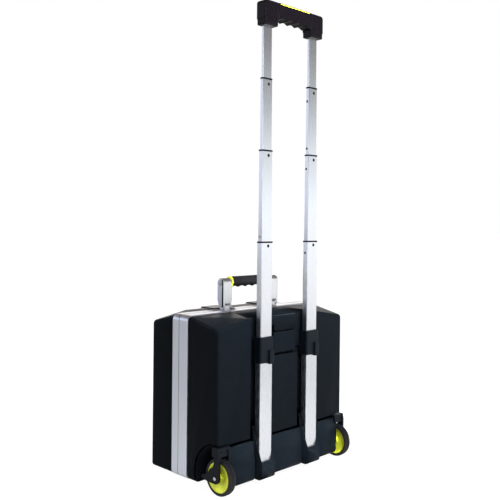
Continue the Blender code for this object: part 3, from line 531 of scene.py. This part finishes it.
def turned(profile, place, axis, segments=48):
    """A closed or axis-ended profile of (along, radius) points turned about an axis through place."""
    bm = bmesh.new()
    rings = []
    for along, radius in profile:
        if radius <= 1e-7:
            rings.append([bm.verts.new((0, 0, along))])
            continue
        steps = [2 * math.pi * k / segments for k in range(segments)]
        rings.append([bm.verts.new((radius * math.cos(a), radius * math.sin(a), along)) for a in steps])
    closed = profile[0][1] > 1e-7
    pairs = list(zip(rings, rings[1:])) + ([(rings[-1], rings[0])] if closed else [])
    for ring, following in pairs:
        for k in range(segments):
            j = (k + 1) % segments
            corners = [ring[k % len(ring)], ring[j % len(ring)]]
            corners += [following[j % len(following)], following[k % len(following)]]
            bm.faces.new(list(dict.fromkeys(corners)))
    turn = Vector((0, 0, 1)).rotation_difference(Vector(axis)).to_matrix().to_4x4()
    bmesh.ops.transform(bm, matrix=Matrix.Translation(place) @ turn, verts=bm.verts)
    return bm


def arc(centre, radius, start, end, steps):
    angles = [math.radians(start + (end - start) * i / steps) for i in range(steps + 1)]
    return [(centre[0] + radius * math.cos(a), centre[1] + radius * math.sin(a)) for a in angles]


def prism(outline, axis, start, end):
    """An outline extruded along an axis: (y, z) for X, (x, z) for Y, (x, y) for Z."""
    bm = bmesh.new()
    spots = {
        "X": lambda along, u, v: (along, u, v),
        "Y": lambda along, u, v: (u, along, v),
        "Z": lambda along, u, v: (u, v, along),
    }[axis]
    loops = [[bm.verts.new(spots(along, u, v)) for u, v in outline] for along in (start, end)]
    bm.faces.new(loops[0])
    bm.faces.new(loops[1])
    for k in range(len(outline)):
        j = (k + 1) % len(outline)
        bm.faces.new((loops[0][k], loops[0][j], loops[1][j], loops[1][k]))
    return bm


def cut_with(obj, bm):
    """Cuts obj with a shape, and keeps the result as obj's own mesh."""
    tool = mesh_object("tool", bm)
    modifier = obj.modifiers.new("cut", "BOOLEAN")
    modifier.object = tool
    modifier.operation = "DIFFERENCE"
    graph = bpy.context.evaluated_depsgraph_get()
    graph.update()
    result = bpy.data.meshes.new_from_object(obj.evaluated_get(graph))
    obj.modifiers.remove(modifier)
    obj.data = result
    bpy.data.objects.remove(tool)


def screw_head(radius, height, recess_radius, sides=6, segments=32):
    """A pan head with a driver recess, standing on the plane Z = 0; sides counts the recess's lobes."""
    bm = bmesh.new()
    profile = [(0.0, radius), (0.45 * height, radius), (0.8 * height, 0.9 * radius), (height, 0.72 * radius)]
    rings = []
    for along, ring_radius in profile:
        steps = [2 * math.pi * k / segments for k in range(segments)]
        circle = [(ring_radius * math.cos(a), ring_radius * math.sin(a), along) for a in steps]
        rings.append([bm.verts.new(point) for point in circle])
    for depth in (height, 0.35 * height):
        ring = []
        for k in range(segments):
            a = 2 * math.pi * k / segments
            lobed = recess_radius * (1.0 + 0.13 * math.cos(sides * a))
            ring.append(bm.verts.new((lobed * math.cos(a), lobed * math.sin(a), depth)))
        rings.append(ring)
    for ring, following in zip(rings, rings[1:]):
        for k in range(segments):
            j = (k + 1) % segments
            bm.faces.new((ring[k], ring[j], following[j], following[k]))
    bm.faces.new(rings[0])
    bm.faces.new(rings[-1])
    return bm


def placed(bm, place, axis):
    turn = Vector((0, 0, 1)).rotation_difference(Vector(axis)).to_matrix().to_4x4()
    bmesh.ops.transform(bm, matrix=Matrix.Translation(place) @ turn, verts=bm.verts)
    return bm


# Pieces


class ToolBoxOperator(bpy.types.Operator):
    """A step that finishes part of the tool box"""

    bl_options = {"REGISTER", "UNDO"}


class TOOLBOX_OT_shells(ToolBoxOperator):
    """Finish the two half shells, the wheel carriage and the bridge between the rail clamps"""

    bl_idname = "toolbox.shells"
    bl_label = "Shells"

    def execute(self, context):
        for node in ("rear_shell", "lid_shell"):
            dress(node, "grained_abs")
        # The carriage gets a lighter copy of the shells' finish, painted light.
        dress("wheel_carriage", "carriage_abs_painted_lighter")
        dress("clamp_bridge", "grained_abs")
        return {"FINISHED"}


class TOOLBOX_OT_frames(ToolBoxOperator):
    """Finish the two aluminium frames and put the rubber seal between them"""

    bl_idname = "toolbox.frames"
    bl_label = "Frames"

    def execute(self, context):
        for node in ("rear_frame", "lid_frame"):
            dress(node, "frame_aluminium")
        low, high = box_of("rear_frame")
        lid_high = box_of("lid_frame")[1]
        clear = 0.05 * MM
        corner = 13.5 * MM
        bm = bmesh.new()
        loops = []
        for inset in (0.6 * MM, 11 * MM):
            for depth in (low.y - clear, lid_high.y + clear):
                outline = self.rounded_loop(low, high, inset, max(2 * MM, corner - inset))
                loops.append([bm.verts.new((x, depth, z)) for x, z in outline])
        front, back, inner_front, inner_back = loops
        around = (front, back, inner_back, inner_front, front)
        for ring, following in zip(around, around[1:]):
            for k in range(len(ring)):
                j = (k + 1) % len(ring)
                bm.faces.new((ring[k], ring[j], following[j], following[k]))
        add_piece("frame_seal", bm, "seal_rubber", "case")
        return {"FINISHED"}

    def rounded_loop(self, low, high, inset, corner):
        """A rounded rectangle (x, z) inside the frame's outline."""
        left, right, bottom, top = low.x + inset, high.x - inset, low.z + inset, high.z - inset
        outline = arc((right - corner, bottom + corner), corner, -90, 0, 6)
        outline += arc((right - corner, top - corner), corner, 0, 90, 6)
        outline += arc((left + corner, top - corner), corner, 90, 180, 6)
        return outline + arc((left + corner, bottom + corner), corner, 180, 270, 6)


class TOOLBOX_OT_tubes(ToolBoxOperator):
    """Finish the rails, the telescopic tubes and their guide collars, and add the lock pins"""

    bl_idname = "toolbox.tubes"
    bl_label = "Pull handle tubes"

    def execute(self, context):
        for name, side in SIDES:
            dress(f"rail_{name}", "tube_aluminium")
            dress(f"stage_d_tube_{name}", "tube_aluminium")
            tops = {}
            for stage, below_top in PINS_BELOW_TOP:
                dress(f"stage_{stage}_tube_{name}", "tube_aluminium")
                dress(f"stage_{stage}_collar_{name}", "dark_pin")
                self.add_pin(stage, name, below_top)
                tops[stage] = box_of(f"stage_{stage}_tube_{name}")[1].z
            for number, (stage, facing, joint, offset) in enumerate(SIDE_HOLES):
                self.add_side_hole(stage, name, facing * side, tops[joint] + offset, number)
            dress(f"rail_clamp_{name}", "fine_black", 0.6 * MM)
        return {"FINISHED"}

    def add_pin(self, stage, name, below_top):
        """The round end of the lock rod's pin, in the rear face just under the joint."""
        low, high = box_of(f"stage_{stage}_tube_{name}")
        place = Vector(((low.x + high.x) / 2 - PIN_OFFSET, high.y, high.z - below_top))
        dome = [(-0.4 * MM, 0), (-0.4 * MM, PIN_RADIUS), (0.05 * MM, PIN_RADIUS)]
        dome += [(0.2 * MM, PIN_RADIUS - 0.4 * MM), (0.2 * MM, 0)]
        pin = turned(dome, place, (0, 1, 0), 32)
        add_piece(f"lock_pin_{stage}_{name}", pin, "dark_pin", f"stage_{stage}")

    def add_side_hole(self, stage, name, facing, height, number):
        """A plugged hole in one side of a tube."""
        low, high = box_of(f"stage_{stage}_tube_{name}")
        face = high.x if facing > 0 else low.x
        place = Vector((face, (low.y + high.y) / 2 - 0.5 * MM, height))
        plug = [(-0.4 * MM, 0), (-0.4 * MM, HOLE_RADIUS), (0.05 * MM, HOLE_RADIUS)]
        plug += [(0.2 * MM, HOLE_RADIUS - 0.3 * MM), (0.0, HOLE_RADIUS - 0.7 * MM), (0.0, 0)]
        bush = turned(plug, place, (facing, 0, 0), 24)
        add_piece(f"side_plug_{stage}_{name}_{number}", bush, "dark_pin", f"stage_{stage}")


class TOOLBOX_OT_pull_grip(ToolBoxOperator):
    """Build the pull grip from two end blocks and a bar with finger scallops, and finish its button"""

    bl_idname = "toolbox.pull_grip"
    bl_label = "Pull grip"

    def execute(self, context):
        low, high = box_of("pull_grip")
        for name, side in SIDES:
            block = prism([(side * x, z) for x, z in self.block_outline(low, high)], "Y", low.y, high.y)
            end = self.add_part(f"grip_block_{name}", block)
            round_edges(end, 4.2 * MM, 5, 50)
        bar = self.add_part("grip_bar", self.bar(low, high))
        button_low, button_high = box_of("release_button")
        half = (button_high.x + BUTTON_ROOM, (button_high.y - button_low.y) / 2 + BUTTON_ROOM)
        middle = (button_low.y + button_high.y) / 2
        well = [(u * half[0], middle + v * half[1]) for u, v in ((-1, -1), (1, -1), (1, 1), (-1, 1))]
        cut_with(bar, prism(well, "Z", high.z - 8 * MM, high.z + 10 * MM))
        round_edges(bar, 2.4 * MM, 4, 50)
        strip = prism(self.strip_outline(high), "X", -PULL_INNER + 6 * MM, PULL_INNER - 6 * MM)
        add_piece("grip_strip", strip, "lime_plastic", "stage_d")
        dress("release_button", "lime_plastic")
        return {"FINISHED"}

    def add_part(self, name, bm):
        return add_piece(name, bm, "grip_black", "stage_d", ["pull_grip"])

    def block_outline(self, low, high):
        """An end block across X and Z: a rounded outer shoulder above a slightly narrower neck."""
        corner, shoulder = 9.0 * MM, high.z - PULL_BLOCK_HEIGHT
        neck_outer, neck_inner = high.x - PULL_NECK_STEP, PULL_INNER + PULL_NECK_STEP
        outline = arc((high.x - corner, high.z - corner), corner, 90, 0, 6)
        neck_top = shoulder - 2 * MM
        outline += [(high.x, shoulder), (neck_outer, neck_top), (neck_outer, low.z), (neck_inner, low.z)]
        return outline + [(neck_inner, neck_top), (PULL_INNER, shoulder), (PULL_INNER, high.z)]

    def strip_outline(self, high):
        """The thin bright strip let into the bar's rear top edge, across Y and Z."""
        front, back = high.y - 3.0 * MM, high.y - 0.5 * MM
        bottom, top = high.z - 3.1 * MM, high.z - 2.0 * MM
        return [(front, bottom), (back, bottom), (back, top), (front, top)]

    def bar(self, low, high):
        """The bar between the blocks, slimmer than they are, with scallops for the fingers."""
        half = PULL_INNER - SEAM
        start = half - 4 * MM
        bottom = high.z - PULL_BAR_HEIGHT
        steps = FINGERS * 12
        outline = [(-half, high.z), (half, high.z), (half, bottom)]
        for i in range(steps + 1):
            rise = FINGER_RISE * abs(math.sin(math.pi * FINGERS * i / steps))
            outline.append((start - 2 * start * i / steps, bottom + rise))
        outline.append((-half, bottom))
        return prism(outline, "Y", low.y + 0.8 * MM, high.y - 0.8 * MM)


class TOOLBOX_OT_wheels(ToolBoxOperator):
    """Build the tyres with their tread, finish the dished hubs, axles and brackets, and add the bracket
    screws
    """

    bl_idname = "toolbox.wheels"
    bl_label = "Wheels"

    def execute(self, context):
        for name, side in SIDES:
            self.build_tyre(name, context.scene.tool_box_detail.tyre_grooves)
            dress(f"wheel_hub_{name}", "lime_plastic", 0.4 * MM)
            dress(f"wheel_axle_{name}", "zinc_steel")
            dress(f"wheel_bracket_{name}", "fine_black", 0.6 * MM)
            self.add_bracket_screws(name, side, context.scene.tool_box_detail.screw_radius)
        return {"FINISHED"}

    def build_tyre(self, name, grooves):
        """A crowned tread with grooves around it, rounded shoulders and a bead on each wall."""
        low, high = box_of(f"wheel_tyre_{name}")
        hub_low, hub_high = box_of(f"wheel_hub_{name}")
        centre = (low + high) / 2
        radius, half = (high.z - low.z) / 2, (high.x - low.x) / 2
        seat = (hub_high.z - hub_low.z) / 2 + 0.3 * MM
        shoulder = 3.5 * MM
        wall = [(-half, seat), (-half + 0.5 * MM, seat + 1.0 * MM), (-half, seat + 2.0 * MM)]
        curve = arc((-half + shoulder, radius - shoulder - 0.4 * MM), shoulder, 180, 100, 6)
        tread = list(curve)
        flat = half - shoulder
        groove_half, depth = 0.7 * MM, 1.1 * MM
        for index in range(grooves):
            middle = -flat + 2 * flat * (index + 1) / (grooves + 1)
            crown = radius - 0.1 * MM
            tread += [(middle - groove_half - 0.2 * MM, crown), (middle - groove_half, crown - 0.3 * MM)]
            tread += [(middle - 0.4 * MM, crown - depth), (middle + 0.4 * MM, crown - depth)]
            tread += [(middle + groove_half, crown - 0.3 * MM), (middle + groove_half + 0.2 * MM, crown)]
        tread += [(-x, r) for x, r in reversed(curve)]
        wall_back = [(-x, r) for x, r in reversed(wall)]
        tyre = turned(wall + tread + wall_back, centre, (1, 0, 0), 96)
        add_piece(f"tyre_{name}", tyre, "tyre_rubber", f"wheel_{name}", [f"wheel_tyre_{name}"])

    def add_bracket_screws(self, name, side, radius):
        low, high = box_of(f"wheel_bracket_{name}")
        axle_low, axle_high = box_of(f"wheel_axle_{name}")
        middle = side * (abs(low.x) + abs(high.x)) / 2
        back = (axle_low.y + axle_high.y) / 2 + 9.5 * MM
        for index, offset in enumerate((-9 * MM, 9 * MM)):
            place = Vector((middle + offset, back, high.z - 9 * MM))
            head = placed(screw_head(0.8 * radius, 1.4 * MM, 0.4 * radius), place, (0, 1, 0))
            add_piece(f"bracket_screw_{name}_{index}", head, "fine_black", "case")


class TOOLBOX_OT_carry_handle(ToolBoxOperator):
    """Build the ribbed grip and the arms' side covers and screws, and finish the arms and mounts"""

    bl_idname = "toolbox.carry_handle"
    bl_label = "Carry handle"

    def execute(self, context):
        detail = context.scene.tool_box_detail
        self.build_grip(detail.grip_ribs)
        for name, side in SIDES:
            dress(f"handle_arm_{name}", "cast_aluminium", 0.5 * MM)
            dress(f"handle_mount_{name}", "cast_aluminium", 0.4 * MM)
            dress(f"handle_pin_{name}", "zinc_steel")
            dress(f"grip_ring_{name}", "lime_plastic", 0.8 * MM)
            self.build_cover(name, side)
            self.build_screw(name, side)
        return {"FINISHED"}

    def build_grip(self, ribs):
        """Rings lofted along X: an oval with fine ribs, and scallops for the fingers underneath."""
        low, high = box_of("handle_grip")
        centre = (low + high) / 2
        half, radius_y, radius_z = (high.x - low.x) / 2, (high.y - low.y) / 2, (high.z - low.z) / 2
        stations, around, fingers = ribs * 8, 40, 5
        scallop_depth, rib_depth = 3.0 * MM, 0.45 * MM
        bm = bmesh.new()
        rings = []
        for i in range(stations + 1):
            share = i / stations
            scallop = scallop_depth * abs(math.sin(math.pi * fingers * share))
            rib = rib_depth * (0.5 - 0.5 * math.cos(2 * math.pi * ribs * share)) ** 2
            end = min(1.0, 40 * min(share, 1 - share) + 0.94)
            ring = []
            for k in range(around):
                a = 2 * math.pi * k / around
                up = math.sin(a)
                side_rib = rib * (1 - 0.8 * max(0.0, up) ** 3)
                y = (radius_y - side_rib) * math.cos(a) * end
                z = (radius_z - side_rib) * up * end + scallop * max(0.0, -up)
                ring.append(bm.verts.new((low.x + 2 * half * share, centre.y + y, centre.z + z)))
            rings.append(ring)
        for ring, following in zip(rings, rings[1:]):
            for k in range(around):
                j = (k + 1) % around
                bm.faces.new((ring[k], ring[j], following[j], following[k]))
        bm.faces.new(rings[0])
        bm.faces.new(rings[-1])
        add_piece("grip_sleeve", bm, "grip_rubber", "carry_handle", ["handle_grip"], 60)

    def build_cover(self, name, side):
        """A slate cover plate on the arm's outer side, and the black strip behind it."""
        low, high = box_of(f"handle_arm_{name}")
        outer = high.x if side > 0 else low.x
        depth = high.y - low.y
        radius = depth / 2 - 1.0 * MM
        head_z = high.z - depth / 2
        middle = (low.y + high.y) / 2
        split = high.y - 6.0 * MM
        foot = low.z + 9 * MM
        outline = [(split, foot), (split, head_z + math.sqrt(max(0.0, radius**2 - (split - middle) ** 2)))]
        start = math.degrees(math.acos((split - middle) / radius))
        outline += arc((middle, head_z), radius, start, 180, 14)[1:]
        outline += [(middle - radius, foot + 16 * MM), (middle - radius + 5 * MM, foot)]
        plate = prism(outline, "X", outer - side * 0.1 * MM, outer + side * 0.5 * MM)
        cover = add_piece(f"arm_cover_{name}", plate, "slate_paint", "carry_handle")
        round_edges(cover, 0.25 * MM, 2)
        # A thin dark plate laid over the arm's inner side.
        inner = low.x if side > 0 else high.x
        inner_dark_plate = prism(self.arm_side(low, high), "X", inner - side * 0.2 * MM, inner + side * 0.1 * MM)
        add_piece(f"arm_inner_dark_plate_{name}", inner_dark_plate, "fine_black", "carry_handle")
        front, back = split + 0.4 * MM, high.y - 0.7 * MM
        strip = [(front, foot - 3 * MM), (back, foot - 3 * MM), (back, head_z)]
        end = math.degrees(math.acos((split - middle + 0.4 * MM) / radius))
        strip += arc((middle, head_z), radius + 0.4 * MM, 8, end, 5)
        band = prism(strip, "X", outer - side * 0.1 * MM, outer + side * 0.25 * MM)
        add_piece(f"arm_strip_{name}", band, "fine_black", "carry_handle")

    def arm_side(self, low, high):
        """The side view of an arm, a little inside its edges, from above its fork to its round top."""
        middle = (low.y + high.y) / 2
        radius = (high.y - low.y) / 2 - 0.9 * MM
        outline = arc((middle, high.z - radius - 0.9 * MM), radius, 0, 180, 14)
        return outline + [(middle - radius, low.z + 22 * MM), (middle + radius, low.z + 22 * MM)]

    def build_screw(self, name, side):
        low, high = box_of(f"handle_screw_{name}")
        centre = (low + high) / 2
        outer = low.x if side > 0 else high.x
        place = Vector((outer, centre.y, centre.z))
        head = placed(screw_head(6.8 * MM, 1.9 * MM, 3.0 * MM), place, (side, 0, 0))
        add_piece(f"arm_screw_{name}", head, "zinc_steel", "carry_handle", [f"handle_screw_{name}"])


class TOOLBOX_OT_hardware(ToolBoxOperator):
    """Finish the hinges, latches and feet, and add the hinge leaves' screws"""

    bl_idname = "toolbox.hardware"
    bl_label = "Hinges, latches and feet"

    def execute(self, context):
        radius = context.scene.tool_box_detail.screw_radius
        for name, side in SIDES:
            for part in ("hinge_leaf_rear", "hinge_leaf_lid", "hinge_pin", "latch_base", "latch_keeper"):
                dress(f"{part}_{name}", "zinc_steel", 0.2 * MM)
            dress(f"latch_lever_{name}", "black_steel", 0.6 * MM)
            dress(f"foot_{name}", "seal_rubber")
            for body, part in (("case", "rear"), ("lid", "lid")):
                self.add_leaf_screws(name, body, f"hinge_leaf_{part}_{name}", radius)
        return {"FINISHED"}

    def add_leaf_screws(self, name, body, leaf, radius):
        low, high = box_of(leaf)
        far = max(high.y, low.y, key=lambda y: abs(y - box_of(f"hinge_pin_{name}")[0].y))
        y = far + (6 * MM if far == low.y else -6 * MM)
        for index in range(3):
            x = low.x + (high.x - low.x) * (index + 0.5) / 3
            place = Vector((x, y, high.z - 2.0 * MM))
            head = placed(screw_head(radius, 1.2 * MM, 0.42 * radius), place, (0, 0, -1))
            add_piece(f"leaf_screw_{leaf}_{index}", head, "zinc_steel", body)


# Stage

# Name, place, size, power, colour, and whether polished surfaces mirror the light
LIGHTS = (
    ("key_softbox", (0.05, 0.90, 1.15), (0.9, 0.5), 62, (1.0, 1.0, 1.0), False),
    ("left_softbox", (2.4, -1.2, 0.7), (1.2, 1.2), 22, (1.0, 1.0, 1.0), False),
    ("overhead", (0.2, 0.2, 3.0), (2.5, 2.5), 4, (1.0, 0.90, 0.82), False),
    ("edge_light", (2.3, 2.6, 1.3), (0.5, 1.6), 10, (0.95, 0.97, 1.0), True),
)
LIGHT_AIM = Vector((0, 0, 0.45))
# Side that the wall stands on, how far it spreads to each side, the heights it fades over, and its shade
WALLS = (
    ((1, -1, 0), (-0.10, 0.75), (0.30, 0.65), (0.80, 0.84, 0.98)),
    ((1, 1, 0), (0.55, 0.95), (0.30, 0.70), (0.50, 0.50, 0.52)),
    ((-1, -1, 0), (0.30, 0.85), (0.22, 0.42), (1.9, 1.8, 1.7)),
    ((-1, 1, 0), (0.05, 0.70), (-0.06, 0.27), (1.50, 1.54, 1.58)),
)
ROOM_SHADE = (0.21, 0.20, 0.20)
CEILING_SHADE = (0.17, 0.145, 0.13)
FLOOR_GLOW = 0.95
FLOOR_REACH = 40.0


class TOOLBOX_OT_stage(ToolBoxOperator):
    """Lay the floor, and place the camera and the soft lights"""

    bl_idname = "toolbox.stage"
    bl_label = "Floor, light and camera"

    def execute(self, context):
        stage = context.scene.tool_box_stage
        self.build_floor(tuple(stage.floor_colour))
        self.place_camera(context.scene, stage)
        self.set_world(context.scene)
        for name, place, size, power, colour, mirrored in LIGHTS:
            self.add_light(name, Vector(place), size, power, colour, LIGHT_AIM).visible_glossy = mirrored
        context.scene.view_settings.view_transform = "Standard"
        context.scene.view_settings.look = "None"
        return {"FINISHED"}

    def build_floor(self, colour):
        bm = bmesh.new()
        bmesh.ops.create_grid(bm, x_segments=1, y_segments=1, size=FLOOR_REACH)
        floor = mesh_object("floor", bm)
        material, tree, shader = new_material("floor_paper")
        slow = noise_value(tree, object_point(tree), 1.5, 2.0)
        paper = mix_colours(tree, slow, scaled(colour, 0.99), scaled(colour, 1.01))
        tree.links.new(paper, shader.inputs["Base Color"])
        shader.inputs["Roughness"].default_value = 0.9
        shader.inputs["Specular IOR Level"].default_value = 0.1
        shader.inputs["Emission Color"].default_value = (1, 1, 1, 1)
        path = tree.nodes.new("ShaderNodeLightPath")
        toward = tree.nodes.new("ShaderNodeVectorMath")
        toward.operation = "DOT_PRODUCT"
        toward.inputs[1].default_value = (-0.7, 0.7, 0)
        tree.links.new(object_point(tree), toward.inputs[0])
        # Painted glow: glossy rays see the floor give off light of its own, rising towards -X +Y, which the
        # metal mirrors as a painted reflection; camera rays see the floor evenly bright.
        near_part = ramp(tree, toward.outputs["Value"], -0.6, 0.3, 0.32, 0.45)
        far_part = ramp(tree, toward.outputs["Value"], 0.3, 4.0, 0.0, 0.60)
        lit_side = math_node(tree, "ADD", near_part, far_part)
        seen = math_node(tree, "MULTIPLY", path.outputs["Is Camera Ray"], FLOOR_GLOW)
        mirrored = math_node(tree, "MULTIPLY", path.outputs["Is Glossy Ray"], lit_side)
        tree.links.new(math_node(tree, "ADD", seen, mirrored), shader.inputs["Emission Strength"])
        floor.data.materials.append(material)

    def place_camera(self, scene, stage):
        camera = bpy.data.objects.new("camera", bpy.data.cameras.new("camera"))
        scene.collection.objects.link(camera)
        camera.data.lens = stage.lens
        camera.data.sensor_width = 36.0
        camera.data.shift_y = -0.056
        camera.data.clip_end = 100
        turn = stage.camera_turn
        forward = Vector((-math.cos(turn), -math.sin(turn), 0))
        right = Vector((-math.sin(turn), math.cos(turn), 0))
        up = Vector((0, 0, 1))
        tilted_right = right * math.cos(stage.camera_roll) + up * math.sin(stage.camera_roll)
        tilted_up = up * math.cos(stage.camera_roll) - right * math.sin(stage.camera_roll)
        turned_axes = Matrix((tilted_right, tilted_up, -forward)).transposed().to_4x4()
        camera.matrix_world = Matrix.Translation(stage.camera_place) @ turned_axes
        scene.camera = camera

    def set_world(self, scene):
        """A white surround for the view, and a studio with paler walls for what surfaces pick up."""
        world = bpy.data.worlds.new("studio")
        scene.world = world
        world.use_nodes = True
        tree = world.node_tree
        seen = tree.nodes["Background"]
        seen.inputs["Color"].default_value = (1, 1, 1, 1)
        seen.inputs["Strength"].default_value = 1.0
        place = tree.nodes.new("ShaderNodeTexCoord")
        direction = place.outputs["Generated"]
        height = tree.nodes.new("ShaderNodeSeparateXYZ")
        tree.links.new(direction, height.inputs["Vector"])
        up = height.outputs["Z"]
        colour = mix_colours(tree, ramp(tree, up, 0.10, 0.75), ROOM_SHADE, CEILING_SHADE)
        for facing, spread, fade, shade in WALLS:
            toward = tree.nodes.new("ShaderNodeVectorMath")
            toward.operation = "DOT_PRODUCT"
            toward.inputs[1].default_value = Vector(facing).normalized()
            tree.links.new(direction, toward.inputs[0])
            aside = ramp(tree, toward.outputs["Value"], *spread)
            below = ramp(tree, up, fade[0], fade[1], 1.0, 0.0)
            colour = mix_colours(tree, math_node(tree, "MULTIPLY", aside, below), colour, shade)
        picked_up = tree.nodes.new("ShaderNodeBackground")
        tree.links.new(colour, picked_up.inputs["Color"])
        path = tree.nodes.new("ShaderNodeLightPath")
        mix = tree.nodes.new("ShaderNodeMixShader")
        tree.links.new(path.outputs["Is Camera Ray"], mix.inputs[0])
        tree.links.new(picked_up.outputs[0], mix.inputs[1])
        tree.links.new(seen.outputs[0], mix.inputs[2])
        tree.links.new(mix.outputs[0], tree.nodes["World Output"].inputs["Surface"])

    def add_light(self, name, place, size, power, colour, target):
        light = bpy.data.lights.new(name, "AREA")
        light.shape = "RECTANGLE"
        light.size, light.size_y = size
        light.energy = power
        light.color = colour
        obj = bpy.data.objects.new(name, light)
        bpy.context.scene.collection.objects.link(obj)
        aim = (target - place).to_track_quat("-Z", "Y").to_matrix().to_4x4()
        obj.matrix_world = Matrix.Translation(place) @ aim
        obj.visible_camera = False
        return obj


# Panel and registration


STEPS = ("shells", "frames", "tubes", "pull_grip", "wheels", "carry_handle", "hardware", "stage")


class TOOLBOX_PT_panel(bpy.types.Panel):
    """Sizes, colours and steps of the tool box's finishes"""

    bl_idname = "TOOLBOX_PT_panel"
    bl_label = "Rolling tool box"
    bl_space_type = "VIEW_3D"
    bl_region_type = "UI"
    bl_category = "Tool Box"

    def draw(self, context):
        scene = context.scene
        for settings in (scene.tool_box_finish, scene.tool_box_detail, scene.tool_box_stage):
            for name in settings.__annotations__:
                self.layout.prop(settings, name)
        for step in STEPS:
            self.layout.operator(f"toolbox.{step}")


CLASSES = (
    FinishSettings,
    DetailSettings,
    StageSettings,
    TOOLBOX_OT_shells,
    TOOLBOX_OT_frames,
    TOOLBOX_OT_tubes,
    TOOLBOX_OT_pull_grip,
    TOOLBOX_OT_wheels,
    TOOLBOX_OT_carry_handle,
    TOOLBOX_OT_hardware,
    TOOLBOX_OT_stage,
    TOOLBOX_PT_panel,
)


def register():
    for cls in CLASSES:
        bpy.utils.register_class(cls)
    bpy.types.Scene.tool_box_finish = PointerProperty(type=FinishSettings)
    bpy.types.Scene.tool_box_detail = PointerProperty(type=DetailSettings)
    bpy.types.Scene.tool_box_stage = PointerProperty(type=StageSettings)


def unregister():
    del bpy.types.Scene.tool_box_stage
    del bpy.types.Scene.tool_box_detail
    del bpy.types.Scene.tool_box_finish
    for cls in reversed(CLASSES):
        bpy.utils.unregister_class(cls)


def main():
    register()
    for step in STEPS:
        getattr(bpy.ops.toolbox, step)()


if __name__ == "__main__":
    main()
